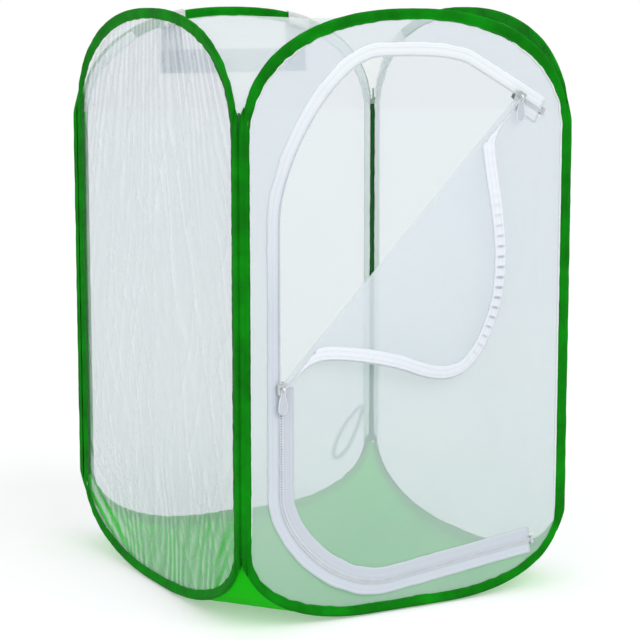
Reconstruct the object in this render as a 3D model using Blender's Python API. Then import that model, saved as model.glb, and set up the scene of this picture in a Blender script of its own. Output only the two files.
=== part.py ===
"""Pop-up insect cage: four hooped mesh panels sewn corner to corner, with a zipped door in the front.

The frame is +Z up, with the origin on the ground under the middle of the cage. The front panel, which
has the door, faces -Y, and the clear film panel faces -X. All lengths are in metres.
"""

import math

import bmesh
import bpy
from mathutils import Vector
from mathutils.geometry import tessellate_polygon

# Driving dimensions
WIDTH = 0.365
DEPTH = 0.390
HEIGHT = 0.590

# Outline of a panel's hoop: upright sides, and rounded corners that are quarter superellipses
TOP_RISE = 0.120
TOP_EXPONENT = 2.3
TOP_STEPS = 8
BOTTOM_RISE = 0.080
BOTTOM_EXPONENT = 2.2
BOTTOM_STEPS = 6
FRONT_LEVEL_RUN = 0.0834
SIDE_LEVEL_RUN = 0.0184

# Fabric binding that sleeves each hoop, and the wire and its crimped ferrule inside
BAND_UPRIGHT = 0.008
BAND_LEVEL = 0.011
BAND_THICKNESS = 0.006
BAND_CHAMFER = 0.0014
CHANNEL_RADIUS = 0.0024
CHANNEL_CENTRE = 0.0041
CHANNEL_SIDES = 7
SLOT_HEIGHT = 0.0012
WIRE_RADIUS = 0.00125
WIRE_SIDES = 6
FERRULE_INNER = 0.00165
FERRULE_OUTER = 0.00195
FERRULE_LENGTH = 0.012
FERRULE_SLIT_ANGLE = math.radians(44)
FERRULE_SIDES = 8

# Sewn corner seam, which the panels fold about
SEAM_CLEARANCE = 0.0008
SEAM_RADIUS = 0.0012
SEAM_SIDES = 8
SEAM_BOTTOM = 0.075
SEAM_TOP_MARGIN = 0.095

# Sheets and the gaps between layers
GAP = 0.0003
SHEET = 0.0006
SHEET_SEAT = 0.0012
FLOOR_THICKNESS = 0.0012
POCKET_FIRST_STEP = 1

# Upright gathers of the clear film
GATHER_HEIGHT = 0.0018
GATHER_PITCH = 0.052
GATHER_COLUMN = 0.013
GATHER_ROWS = 6

# Zip route in the front panel, along and up: each place is measured from the panel's nearest corner
ZIP_START_FROM_LOW_RIGHT = Vector((-0.040, 0.052))
ZIP_LOW_LEFT = Vector((0.160, 0.033))
ZIP_LOW_LEFT_HANDLE = Vector((0.100, 0.027))
ZIP_LEFT_LOW_HANDLE = Vector((0.040, 0.090))
ZIP_LEFT_LOW = Vector((0.040, 0.130))
ZIP_LEFT_HIGH_FROM_TOP_LEFT = Vector((0.040, -0.198))
ZIP_LEFT_HIGH_HANDLE_FROM_TOP_LEFT = Vector((0.040, -0.143))
ZIP_HIGH_LEFT_HANDLE_FROM_TOP_LEFT = Vector((0.100, -0.046))
ZIP_HIGH_LEFT_FROM_TOP_LEFT = Vector((0.148, -0.046))
ZIP_HIGH_BEND_FROM_TOP_RIGHT = Vector((-0.143, -0.045))
ZIP_HIGH_RIGHT_FROM_TOP_RIGHT = Vector((-0.120, -0.054))
ZIP_END_FROM_TOP_RIGHT = Vector((-0.035, -0.101))
ZIP_CURVE_STEPS = 7
SIDE_SLIDER_HEIGHT = 0.235
TOP_SLIDER_SHARE = 0.69
DOOR_HINGE_INSET = 0.034

# Zip sections
ZIP_HALF_GAP = 0.0007
TAPE_HALF = 0.0135
TAPE_THICKNESS = 0.0008
COIL_WIDTH = 0.0026
COIL_HEIGHT = 0.0024
STOP_LENGTH = 0.003
STOP_OVERHANG = 0.0004

# Sliders and pulls
SLIDER_LENGTH = 0.012
SLIDER_RUNNING_GAP = 0.0004
SLIDER_PLATE = 0.0012
SLIDER_BACK_PLATE = 0.0009
SLIDER_FLANGE = 0.00095
SLIDER_FLANGE_DROP = 0.0018
SLIDER_WEB = 0.0006
BAIL_BAR = 0.0007
BAIL_LEG = 0.0008
BAIL_INSET = 0.0004
PULL_EYE_RADIUS = 0.00135
PULL_THICKNESS = 0.0007
PULL_LENGTH = 0.024
PULL_EYE_CLEARANCE = 0.0005
PULL_HALF_WIDTH = 0.004
PULL_CURL_STEPS = 8
PULL_TAIL_SHARES = ((1.0, 0.35), (0.96, 0.72), (0.86, 0.97), (0.72, 1.0), (0.50, 0.80), (0.30, 0.50),
                    (0.14, 0.40))
PULL_EYE_WIDTH_SHARE = 0.40

# Folded corner of the door: its edge as shares of the fold line's length, along it and away from it
FLAP_EDGE_SHARES = ((0.095, 0.012), (0.128, 0.034), (0.171, 0.087), (0.215, 0.154), (0.249, 0.215),
                    (0.278, 0.284), (0.312, 0.338), (0.352, 0.372), (0.400, 0.386), (0.451, 0.382),
                    (0.510, 0.363), (0.570, 0.331), (0.633, 0.281), (0.694, 0.219), (0.748, 0.153),
                    (0.800, 0.087), (0.838, 0.040), (0.867, 0.012))
FLAP_THICKNESS = 0.0008
FLAP_ROLL_RADIUS = 0.003
FLAP_ROLL_STEPS = 4
FLAP_ROWS = 8
FLAP_BOW = 0.008
FLAP_BOW_SPAN = 0.150
FLAP_HEM = 0.002
FLAP_LAYER_GAP = 0.0008
FLAP_TAPE_FIRST = 3
FLAP_TAPE_LAST = 15

# White webbing on the back hoop, and the tie ribbon
WEBBING_WIDTH = 0.026
WEBBING_THICKNESS = 0.0008
WEBBING_SPREAD = 0.155
WEBBING_OFFSET = 0.007
WEBBING_LEG_OVERHANG = 0.002
STRAP_THICKNESS = 0.0012
STRAP_GAP = 0.0004
STRAP_HANG = 0.058
STRAP_SEAT = 0.0065
RIBBON_WIDTH = 0.005
RIBBON_THICKNESS = 0.0008
RIBBON_LOOP_WIDTH = 0.028
RIBBON_LOOP_LENGTH = 0.074
RIBBON_TOP = 0.117
RIBBON_INSET = 0.010
RIBBON_LEAN = math.radians(32)
RIBBON_END_STEPS = 5

MERGE_DISTANCE = 0.00002

# The zip route's places, from the panel's bottom left corner
LOW_RIGHT = Vector((WIDTH, 0))
TOP_LEFT = Vector((0, HEIGHT))
TOP_RIGHT = Vector((WIDTH, HEIGHT))
ZIP_START = LOW_RIGHT + ZIP_START_FROM_LOW_RIGHT
ZIP_LEFT_HIGH = TOP_LEFT + ZIP_LEFT_HIGH_FROM_TOP_LEFT
ZIP_LEFT_HIGH_HANDLE = TOP_LEFT + ZIP_LEFT_HIGH_HANDLE_FROM_TOP_LEFT
ZIP_HIGH_LEFT_HANDLE = TOP_LEFT + ZIP_HIGH_LEFT_HANDLE_FROM_TOP_LEFT
ZIP_HIGH_LEFT = TOP_LEFT + ZIP_HIGH_LEFT_FROM_TOP_LEFT
ZIP_HIGH_BEND = TOP_RIGHT + ZIP_HIGH_BEND_FROM_TOP_RIGHT
ZIP_HIGH_RIGHT = TOP_RIGHT + ZIP_HIGH_RIGHT_FROM_TOP_RIGHT
ZIP_END = TOP_RIGHT + ZIP_END_FROM_TOP_RIGHT
DOOR_HINGE = WIDTH - DOOR_HINGE_INSET

# Layers of the front panel, measured outwards from the middle of the mesh
TAPE_LOW = SHEET / 2 + GAP
TAPE_HIGH = TAPE_LOW + TAPE_THICKNESS
COIL_LOW = TAPE_HIGH + GAP
COIL_HIGH = COIL_LOW + COIL_HEIGHT
PLATE_LOW = COIL_HIGH + SLIDER_RUNNING_GAP
PLATE_HIGH = PLATE_LOW + SLIDER_PLATE
SLIDER_HALF_WIDTH = ZIP_HALF_GAP + COIL_WIDTH + SLIDER_RUNNING_GAP + SLIDER_FLANGE
BAIL_AXIS = PLATE_HIGH + PULL_EYE_CLEARANCE + PULL_EYE_RADIUS + PULL_THICKNESS / 2
FLAP_AXIS = SHEET / 2 + GAP + FLAP_THICKNESS / 2 + FLAP_ROLL_RADIUS
STRAP_DEPTH = BAND_THICKNESS / 2 + GAP + WEBBING_THICKNESS + STRAP_GAP + STRAP_THICKNESS / 2


class Panel:
    """One upright panel: a start corner on the ground, the way along it, and the way out of the cage.

    `level_run` is the straight stretch of its bottom edge, between the two corners' curves.
    """

    def __init__(self, start, along, out, length, level_run):
        self.along = Vector(along)
        self.out = Vector(out)
        self.length = length
        self.bottom_reach = (length - level_run) / 2 - SEAM_CLEARANCE
        self.start = Vector(start) + self.out * (BAND_THICKNESS / 2)

    def point(self, u, z, depth=0):
        """The place `u` along the panel and `z` up, `depth` outwards from the middle of the mesh."""
        return self.start + self.along * u + self.out * depth + Vector((0, 0, z))


HALF_WIDTH = WIDTH / 2
HALF_DEPTH = DEPTH / 2
FRONT = Panel((-HALF_WIDTH, -HALF_DEPTH, 0), (1, 0, 0), (0, -1, 0), WIDTH, FRONT_LEVEL_RUN)
LEFT = Panel((-HALF_WIDTH, -HALF_DEPTH, 0), (0, 1, 0), (-1, 0, 0), DEPTH, SIDE_LEVEL_RUN)
BACK = Panel((-HALF_WIDTH, HALF_DEPTH, 0), (1, 0, 0), (0, 1, 0), WIDTH, FRONT_LEVEL_RUN)
RIGHT = Panel((HALF_WIDTH, -HALF_DEPTH, 0), (0, 1, 0), (1, 0, 0), DEPTH, SIDE_LEVEL_RUN)
PANELS = {"front": FRONT, "left": LEFT, "back": BACK, "right": RIGHT}


def clear_scene():
    for thing in list(bpy.data.objects):
        bpy.data.objects.remove(thing, do_unlink=True)


def make_material(name, colour, roughness, metallic=0, alpha=1):
    material = bpy.data.materials.new(name)
    material.use_nodes = True
    shader = material.node_tree.nodes["Principled BSDF"]
    shader.inputs["Base Color"].default_value = (*colour, 1)
    shader.inputs["Roughness"].default_value = roughness
    shader.inputs["Metallic"].default_value = metallic
    shader.inputs["Alpha"].default_value = alpha
    return material


def make_materials():
    return {
        "wire": make_material("spring_wire", (0.55, 0.56, 0.57), 0.35, 1),
        "ferrule": make_material("ferrule", (0.62, 0.60, 0.55), 0.4, 1),
        "binding": make_material("green_binding", (0.02, 0.32, 0.04), 0.8),
        "floor": make_material("green_floor", (0.03, 0.42, 0.02), 0.85),
        "mesh": make_material("white_mesh", (0.80, 0.84, 0.86), 0.9, 0, 0.6),
        "film": make_material("clear_film", (0.85, 0.88, 0.90), 0.12, 0, 0.3),
        "tape": make_material("white_tape", (0.86, 0.88, 0.88), 0.85),
        "coil": make_material("white_coil", (0.84, 0.86, 0.86), 0.45),
        "slider": make_material("white_metal", (0.88, 0.88, 0.88), 0.35),
        "webbing": make_material("white_webbing", (0.86, 0.87, 0.87), 0.9),
        "seam": make_material("green_seam", (0.01, 0.18, 0.03), 0.85),
    }


def make_joint_empty(name, place, parent=None):
    """An empty on a joint's axis, which carries the pieces that move with it."""
    empty = bpy.data.objects.new(name, None)
    bpy.context.scene.collection.objects.link(empty)
    empty.location = place if parent is None else place - parent.matrix_world.translation
    empty.parent = parent
    bpy.context.view_layer.update()
    return empty


def add_piece(name, shape, material, carrier=None, smooth_angle=None):
    """Turn a bmesh in world coordinates into a named object, carried by a joint's empty."""
    bmesh.ops.recalc_face_normals(shape, faces=shape.faces)
    origin = carrier.matrix_world.translation if carrier else Vector((0, 0, 0))
    bmesh.ops.translate(shape, verts=shape.verts, vec=-origin)
    mesh = bpy.data.meshes.new(name)
    shape.to_mesh(mesh)
    shape.free()
    if smooth_angle is not None:
        mesh.shade_smooth()
        mesh.set_sharp_from_angle(angle=smooth_angle)
    mesh.materials.append(material)
    piece = bpy.data.objects.new(name, mesh)
    bpy.context.scene.collection.objects.link(piece)
    piece.parent = carrier
    return piece


def quarter_curve(reach, rise, exponent, steps):
    """A quarter superellipse, from its upright end at (0, rise) to its level end at (reach, 0)."""
    points = []
    for step in range(steps + 1):
        angle = math.pi / 2 * step / steps
        away = reach * (1 - max(0, math.cos(angle)) ** (2 / exponent))
        up = rise * (1 - math.sin(angle) ** (2 / exponent))
        points.append(Vector((away, up)))
    return points


def bottom_curve(panel):
    return quarter_curve(panel.bottom_reach, BOTTOM_RISE, BOTTOM_EXPONENT, BOTTOM_STEPS)


def top_curve(panel):
    reach = panel.length / 2 - SEAM_CLEARANCE
    return quarter_curve(reach, TOP_RISE, TOP_EXPONENT, TOP_STEPS)


def panel_outline(panel):
    """The outer edge of a panel's binding, anticlockwise from the upright end of its first corner."""
    low = SEAM_CLEARANCE
    high = panel.length - SEAM_CLEARANCE
    bottom = bottom_curve(panel)
    top = top_curve(panel)
    outline = [Vector((low + point.x, point.y)) for point in bottom]
    outline += [Vector((high - point.x, point.y)) for point in reversed(bottom)]
    outline += [Vector((high - point.x, HEIGHT - point.y)) for point in top]
    outline += [Vector((low + point.x, HEIGHT - point.y)) for point in reversed(top[:-1])]
    return outline


def offset_directions(points, closed):
    """At each point, the way to its right, stretched so that offset edges stay parallel."""
    directions = []
    count = len(points)
    for index in range(count):
        before = points[(index - 1) % count] if closed or index > 0 else None
        after = points[(index + 1) % count] if closed or index < count - 1 else None
        here = points[index]
        ways = []
        if before is not None:
            ways.append((here - before).normalized())
        if after is not None:
            ways.append((after - here).normalized())
        sides = [Vector((way.y, -way.x)) for way in ways]
        middle = sum(sides, Vector((0, 0))).normalized()
        directions.append(middle / middle.dot(sides[0]))
    return directions


def offset_line(points, distance, closed=False):
    """The line moved `distance` to its right, which is outwards on an anticlockwise outline."""
    directions = offset_directions(points, closed)
    return [point + way * distance for point, way in zip(points, directions)]


def band_width(direction):
    """The binding is wider along the top and the bottom, where it lies flat over the hoop."""
    level = direction.normalized().y ** 2
    return BAND_UPRIGHT + (BAND_LEVEL - BAND_UPRIGHT) * level


def sweep_ring(panel, profile):
    """Sweep a section round a panel's outline. `profile` gives (inward, depth) points for a width."""
    outline = panel_outline(panel)
    directions = offset_directions(outline, closed=True)
    shape = bmesh.new()
    rings = []
    for place, direction in zip(outline, directions):
        ring = []
        for inward, depth in profile(band_width(direction)):
            spot = place - direction * inward
            ring.append(shape.verts.new(panel.point(spot.x, spot.y, depth)))
        rings.append(ring)
    sides = len(rings[0])
    for index, ring in enumerate(rings):
        following = rings[(index + 1) % len(rings)]
        for side in range(sides):
            other = (side + 1) % sides
            shape.faces.new((ring[side], ring[other], following[other], following[side]))
    return shape


def binding_profile(width):
    """A folded strip round the wire: a round channel with a slot for the sheet on its inner edge."""
    half = BAND_THICKNESS / 2
    cut = BAND_CHAMFER
    lip = SLOT_HEIGHT / 2
    points = [(width, lip), (width, half - cut), (width - cut, half), (cut, half), (0, half - cut),
              (0, cut - half), (cut, -half), (width - cut, -half), (width, cut - half), (width, -lip)]
    mouth = math.asin(lip / CHANNEL_RADIUS)
    for step in range(CHANNEL_SIDES + 1):
        angle = mouth + (2 * math.pi - 2 * mouth) * step / CHANNEL_SIDES
        points.append((CHANNEL_CENTRE + CHANNEL_RADIUS * math.cos(angle),
                       -CHANNEL_RADIUS * math.sin(angle)))
    return points


def wire_profile(width):
    turns = [2 * math.pi * step / WIRE_SIDES for step in range(WIRE_SIDES)]
    return [(CHANNEL_CENTRE + WIRE_RADIUS * math.cos(turn), WIRE_RADIUS * math.sin(turn))
            for turn in turns]


def prism(section, start_to_end):
    """A solid between a loop of points and the same loop moved by `start_to_end`."""
    shape = bmesh.new()
    near = [shape.verts.new(point) for point in section]
    far = [shape.verts.new(point + start_to_end) for point in section]
    shape.faces.new(near)
    shape.faces.new(list(reversed(far)))
    count = len(section)
    for index in range(count):
        other = (index + 1) % count
        shape.faces.new((near[index], far[index], far[other], near[other]))
    return shape


def ferrule_shape(panel):
    """A crimped sleeve on the hoop's joint, in the middle of the bottom run, with its seam open."""
    turns = [FERRULE_SLIT_ANGLE / 2 + (2 * math.pi - FERRULE_SLIT_ANGLE) * step / FERRULE_SIDES
             for step in range(FERRULE_SIDES + 1)]
    outside = [(FERRULE_OUTER * math.cos(turn), FERRULE_OUTER * math.sin(turn)) for turn in turns]
    inside = [(FERRULE_INNER * math.cos(turn), FERRULE_INNER * math.sin(turn)) for turn in turns]
    start = panel.length / 2 - FERRULE_LENGTH / 2
    section = [panel.point(start, CHANNEL_CENTRE + up, depth)
               for up, depth in outside + list(reversed(inside))]
    return prism(section, panel.along * FERRULE_LENGTH)


def plate(panel, loops, low, high):
    """A flat sheet between two depths, from an outer loop and any holes."""
    flat = [[Vector((point.x, point.y, 0)) for point in loop] for loop in loops]
    corners = [point for loop in loops for point in loop]
    shape = bmesh.new()
    near = [shape.verts.new(panel.point(point.x, point.y, low)) for point in corners]
    far = [shape.verts.new(panel.point(point.x, point.y, high)) for point in corners]
    for triangle in tessellate_polygon(flat):
        shape.faces.new([near[index] for index in triangle])
        shape.faces.new([far[index] for index in reversed(triangle)])
    first = 0
    for loop in loops:
        count = len(loop)
        for index in range(count):
            here = first + index
            other = first + (index + 1) % count
            shape.faces.new((near[here], near[other], far[other], far[here]))
        first += count
    return shape


def slab(near, far):
    """A solid between two grids of points of the same size."""
    shape = bmesh.new()
    rows = len(near)
    columns = len(near[0])
    fronts = [[shape.verts.new(point) for point in row] for row in near]
    backs = [[shape.verts.new(point) for point in row] for row in far]
    for row in range(rows - 1):
        for column in range(columns - 1):
            corners = ((row, column), (row, column + 1), (row + 1, column + 1), (row + 1, column))
            shape.faces.new([fronts[i][j] for i, j in corners])
            shape.faces.new([backs[i][j] for i, j in reversed(corners)])
    rim = [(0, column) for column in range(columns)]
    rim += [(row, columns - 1) for row in range(1, rows)]
    rim += [(rows - 1, column) for column in range(columns - 2, -1, -1)]
    rim += [(row, 0) for row in range(rows - 2, 0, -1)]
    for index, (i, j) in enumerate(rim):
        k, m = rim[(index + 1) % len(rim)]
        shape.faces.new((fronts[i][j], fronts[k][m], backs[k][m], backs[i][j]))
    return shape


def thicken(sheet, offset):
    """Close an open sheet into a solid, with a twin of each point moved by `offset`."""
    rim = [edge for edge in sheet.edges if edge.is_boundary]
    faces = list(sheet.faces)
    twins = {vert: sheet.verts.new(vert.co + offset) for vert in list(sheet.verts)}
    for face in faces:
        sheet.faces.new([twins[vert] for vert in reversed(face.verts)])
    for edge in rim:
        first, second = edge.verts
        sheet.faces.new((first, second, twins[second], twins[first]))
    return sheet


def ribbon(panel, line, inner, outer, low, high):
    """A flat strip beside a line: `inner` and `outer` are distances to its right."""
    first = offset_line(line, inner)
    second = offset_line(line, outer)
    near = [[panel.point(a.x, a.y, low), panel.point(b.x, b.y, low)] for a, b in zip(first, second)]
    far = [[panel.point(a.x, a.y, high), panel.point(b.x, b.y, high)] for a, b in zip(first, second)]
    return slab(near, far)


def sheet_loop(panel):
    """The edge of a panel's sheet, seated in the slot of its binding."""
    outline = panel_outline(panel)
    directions = offset_directions(outline, closed=True)
    return [place - way * (band_width(way) - SHEET_SEAT) for place, way in zip(outline, directions)]


def bezier(start, first, second, end):
    """Points of a smooth curve between two ends, led by two handles, without its first point."""
    points = []
    for step in range(1, ZIP_CURVE_STEPS + 1):
        t = step / ZIP_CURVE_STEPS
        s = 1 - t
        points.append(start * s ** 3 + first * (3 * s * s * t) + second * (3 * s * t * t) + end * t ** 3)
    return points


def lower_route():
    """The zip's closed stretch, from its bottom right end up to the side slider."""
    route = [ZIP_START, ZIP_LOW_LEFT]
    route += bezier(ZIP_LOW_LEFT, ZIP_LOW_LEFT_HANDLE, ZIP_LEFT_LOW_HANDLE, ZIP_LEFT_LOW)
    return route + [side_slider_place()]


def open_route():
    """The zip's open stretch, from the side slider round the corner to the top slider."""
    route = [side_slider_place(), ZIP_LEFT_HIGH]
    route += bezier(ZIP_LEFT_HIGH, ZIP_LEFT_HIGH_HANDLE, ZIP_HIGH_LEFT_HANDLE, ZIP_HIGH_LEFT)
    return route + [ZIP_HIGH_BEND, ZIP_HIGH_RIGHT, top_slider_place()]


def top_route():
    """The zip's short closed stretch, from the top slider to its top right end."""
    return [top_slider_place(), ZIP_END]


def side_slider_place():
    return Vector((ZIP_LEFT_LOW.x, SIDE_SLIDER_HEIGHT))


def top_slider_place():
    return ZIP_HIGH_RIGHT.lerp(ZIP_END, TOP_SLIDER_SHARE)


def whole_route():
    return lower_route() + open_route()[1:] + top_route()[1:]


def fold_frame():
    """The fold line's start, its unit vector, the way down and right from it, and its length."""
    start = side_slider_place()
    line = top_slider_place() - start
    along = line.normalized()
    return start, along, Vector((along.y, -along.x)), line.length


def hinge_point(route_point):
    """The point of the door's uncut right edge that is level with an end of the zip."""
    return Vector((DOOR_HINGE, route_point.y))


def make_hoops(materials, carriers):
    for side, panel in PANELS.items():
        carrier = carriers[side]
        smooth = math.radians(50)
        add_piece("binding_" + side, sweep_ring(panel, binding_profile), materials["binding"],
                  carrier, smooth)
        add_piece("hoop_" + side, sweep_ring(panel, wire_profile), materials["wire"], carrier,
                  math.radians(70))
        add_piece("ferrule_" + side, ferrule_shape(panel), materials["ferrule"], carrier, smooth)


def make_flat_sheets(materials, carriers):
    for side, panel in (("back", BACK), ("right", RIGHT)):
        shape = plate(panel, [sheet_loop(panel)], -SHEET / 2, SHEET / 2)
        add_piece(side + "_mesh", shape, materials["mesh"], carriers[side])


def make_front_mesh(materials):
    """The front panel's mesh round the door. The door's slit runs under the middle of the zip."""
    route = whole_route()
    cut = [hinge_point(ZIP_START)] + route + [hinge_point(ZIP_END)]
    hole = offset_line(cut, -ZIP_HALF_GAP)
    hole[0].x = DOOR_HINGE
    hole[-1].x = DOOR_HINGE
    shape = plate(FRONT, [sheet_loop(FRONT), hole], -SHEET / 2, SHEET / 2)
    add_piece("front_mesh", shape, materials["mesh"])


def make_door_mesh(materials):
    """The part of the door that is still zipped, below the fold line and out to the top right."""
    low = [hinge_point(ZIP_START)] + lower_route()
    high = top_route() + [hinge_point(ZIP_END)]
    low_edge = offset_line(low, ZIP_HALF_GAP)
    high_edge = offset_line(high, ZIP_HALF_GAP)
    low_edge[0].x = DOOR_HINGE - GAP
    high_edge[-1].x = DOOR_HINGE - GAP
    shape = plate(FRONT, [low_edge + high_edge], -SHEET / 2, SHEET / 2)
    add_piece("door_mesh", shape, materials["mesh"])


def gather_fade(panel, u, z):
    """How far a point of a sheet is from its edges, from 0 at the binding to 1 in the middle."""
    across = math.sin(math.pi * min(1, max(0, u / panel.length)))
    up = math.sin(math.pi * min(1, max(0, z / HEIGHT)))
    return math.sqrt(across) * up


def make_film(materials, carriers):
    """The clear window, which hangs in soft upright gathers between its flat sewn edges."""
    panel = LEFT
    shape = bmesh.new()
    shape.faces.new([shape.verts.new(panel.point(p.x, p.y)) for p in sheet_loop(panel)])
    cuts = [(panel.point(GATHER_COLUMN * column, 0), panel.along)
            for column in range(1, round(panel.length / GATHER_COLUMN))]
    cuts += [(panel.point(0, HEIGHT * row / GATHER_ROWS), Vector((0, 0, 1)))
             for row in range(1, GATHER_ROWS)]
    for place, normal in cuts:
        bmesh.ops.bisect_plane(shape, geom=shape.verts[:] + shape.edges[:] + shape.faces[:],
                               dist=MERGE_DISTANCE, plane_co=place, plane_no=normal)
    for vert in shape.verts:
        if vert.is_boundary:
            continue
        u = (vert.co - panel.start).dot(panel.along)
        wave = math.sin(2 * math.pi * u / GATHER_PITCH)
        vert.co += panel.out * (GATHER_HEIGHT * wave * gather_fade(panel, u, vert.co.z))
    bmesh.ops.translate(shape, verts=shape.verts, vec=panel.out * (-SHEET / 2))
    add_piece("film_window", thicken(shape, panel.out * SHEET), materials["film"], carriers["left"],
              math.radians(40))


def pocket_sheet(curve_x, curve_y, base, sign, margin):
    """The floor or the top: level in the middle, with a pocket of level folds into each corner.

    `curve_x` and `curve_y` are the corner curves of the front and side hoops, taken step by step, so
    the two ends of each fold are at one height. `sign` is 1 for the floor and -1 for the top, and
    `margin` is the gap to the front and back bindings.
    """
    shape = bmesh.new()
    middle = []
    for side_x, side_y in ((-1, -1), (1, -1), (1, 1), (-1, 1)):
        folds = []
        for on_x, on_y in list(zip(curve_x, curve_y))[POCKET_FIRST_STEP:]:
            height = base + sign * on_x.y
            along_x = Vector((side_x * (HALF_WIDTH - SEAM_CLEARANCE - on_x.x),
                              side_y * (HALF_DEPTH - margin), height))
            along_y = Vector((side_x * (HALF_WIDTH - GAP),
                              side_y * (HALF_DEPTH - SEAM_CLEARANCE - on_y.x), height))
            folds.append((shape.verts.new(along_x), shape.verts.new(along_y)))
        for (a, b), (c, d) in zip(folds, folds[1:]):
            shape.faces.new((a, b, d, c))
        last_x, last_y = folds[-1]
        middle += [last_y, last_x] if side_x == side_y else [last_x, last_y]
    shape.faces.new(middle)
    bmesh.ops.remove_doubles(shape, verts=shape.verts, dist=MERGE_DISTANCE)
    return shape


def make_floor_and_top(materials):
    floor = pocket_sheet(bottom_curve(FRONT), bottom_curve(LEFT), 0, 1, GAP)
    add_piece("floor_panel", thicken(floor, Vector((0, 0, FLOOR_THICKNESS))), materials["floor"])
    webbing = GAP + WEBBING_THICKNESS + GAP
    top = pocket_sheet(top_curve(FRONT), top_curve(LEFT), HEIGHT - BAND_CHAMFER, -1, webbing)
    add_piece("top_mesh", thicken(top, Vector((0, 0, -SHEET))), materials["mesh"])


def make_seams(materials, carriers):
    """A sewn bead down each corner, on the axis that its two panels fold about."""
    corners = {"front_left": (-1, -1, None), "front_right": (1, -1, None),
               "back_left": (-1, 1, carriers["left"]), "back_right": (1, 1, carriers["right"])}
    height = HEIGHT - SEAM_TOP_MARGIN - SEAM_BOTTOM
    for name, (side_x, side_y, carrier) in corners.items():
        axis = Vector((side_x * HALF_WIDTH, side_y * HALF_DEPTH, SEAM_BOTTOM))
        turns = [2 * math.pi * step / SEAM_SIDES for step in range(SEAM_SIDES)]
        section = [axis + Vector((math.cos(turn), math.sin(turn), 0)) * SEAM_RADIUS for turn in turns]
        add_piece("corner_seam_" + name, prism(section, Vector((0, 0, height))), materials["seam"],
                  carrier, math.radians(60))


def make_zip(materials):
    """The panel's half of the zip, and the door's two stretches that are still zipped to it."""
    near, far = ZIP_HALF_GAP, ZIP_HALF_GAP + TAPE_HALF
    coil = ZIP_HALF_GAP + COIL_WIDTH
    for name, route, side in (("panel", whole_route(), -1), ("door", lower_route(), 1),
                              ("door_top", top_route(), 1)):
        add_piece("zip_tape_" + name, ribbon(FRONT, route, side * near, side * far, TAPE_LOW, TAPE_HIGH),
                  materials["tape"])
        add_piece("coil_" + name, ribbon(FRONT, route, side * near, side * coil, COIL_LOW, COIL_HIGH),
                  materials["coil"])


def make_stops(materials):
    """A clamp over the two coils' ends, just past each end of the zip."""
    half = ZIP_HALF_GAP + COIL_WIDTH + STOP_OVERHANG
    for name, end, before in (("lower", ZIP_START, ZIP_LOW_LEFT), ("upper", ZIP_END, ZIP_HIGH_RIGHT)):
        way = (end - before).normalized()
        line = [end + way * GAP, end + way * (GAP + STOP_LENGTH)]
        add_piece("zip_stop_" + name, ribbon(FRONT, line, -half, half, TAPE_LOW, COIL_HIGH),
                  materials["slider"])


def slider_section():
    """The slider's section: a front plate with lips over the coils, a web, and a back plate."""
    half = SLIDER_HALF_WIDTH
    web = SLIDER_WEB / 2
    lip = half - SLIDER_FLANGE
    lip_low = PLATE_LOW - SLIDER_FLANGE_DROP
    back_high = -SHEET / 2 - SLIDER_RUNNING_GAP
    back_low = back_high - SLIDER_BACK_PLATE
    right = [(half, PLATE_HIGH), (half, lip_low), (lip, lip_low), (lip, PLATE_LOW), (web, PLATE_LOW),
             (web, back_high), (half, back_high), (half, back_low)]
    return right + [(-across, depth) for across, depth in reversed(right)]


def bail_shape(place):
    """The loop on top of a slider that its pull hangs from, with its bar level."""
    inside = PULL_HALF_WIDTH * PULL_EYE_WIDTH_SHARE + PULL_EYE_CLEARANCE
    outside = inside + BAIL_LEG
    top = BAIL_AXIS + BAIL_BAR / 2
    under = BAIL_AXIS - BAIL_BAR / 2
    foot = PLATE_HIGH - BAIL_INSET
    outline = [(-outside, foot), (-inside, foot), (-inside, under), (inside, under), (inside, foot),
               (outside, foot), (outside, top), (-outside, top)]
    section = [FRONT.point(place.x + across, place.y - BAIL_BAR / 2, depth) for across, depth in outline]
    return prism(section, Vector((0, 0, BAIL_BAR)))


def make_slider(name, place, way, material, carrier):
    """A slider centred on the zip at `place`, running along `way`, with its bail joined on."""
    across = Vector((way.y, -way.x))
    start = place - way * (SLIDER_LENGTH / 2)
    section = []
    for sideways, depth in slider_section():
        spot = start + across * sideways
        section.append(FRONT.point(spot.x, spot.y, depth))
    body = prism(section, FRONT.along * (way.x * SLIDER_LENGTH) + Vector((0, 0, way.y * SLIDER_LENGTH)))
    piece = add_piece(name, body, material, carrier)
    bail = add_piece(name + "_bail_guide", bail_shape(place), material, carrier)
    bail.hide_render = True
    bail.display_type = "WIRE"
    bail.hide_set(True)
    joined = piece.modifiers.new("bail", "BOOLEAN")
    joined.operation = "UNION"
    joined.object = bail


def make_pull(name, place, material, carrier):
    """A stamped pull: a drop-shaped tail whose top is curled round the bail's bar."""
    path = []
    for down_share, width_share in PULL_TAIL_SHARES:
        path.append((-PULL_EYE_RADIUS, -PULL_LENGTH * down_share, width_share, Vector((-1, 0))))
    for step in range(PULL_CURL_STEPS + 1):
        turn = math.pi - math.radians(270) * step / PULL_CURL_STEPS
        outward = Vector((math.cos(turn), math.sin(turn)))
        path.append((PULL_EYE_RADIUS * outward.x, PULL_EYE_RADIUS * outward.y,
                     PULL_EYE_WIDTH_SHARE, outward))
    near, far = [], []
    for depth, up, width_share, outward in path:
        half = PULL_HALF_WIDTH * width_share
        for grid, side in ((near, -1), (far, 1)):
            shift = outward * (side * PULL_THICKNESS / 2)
            grid.append([FRONT.point(place.x + across, place.y + up + shift.y, BAIL_AXIS + depth + shift.x)
                         for across in (-half, half)])
    add_piece(name, slab(near, far), material, carrier, math.radians(40))


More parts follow.
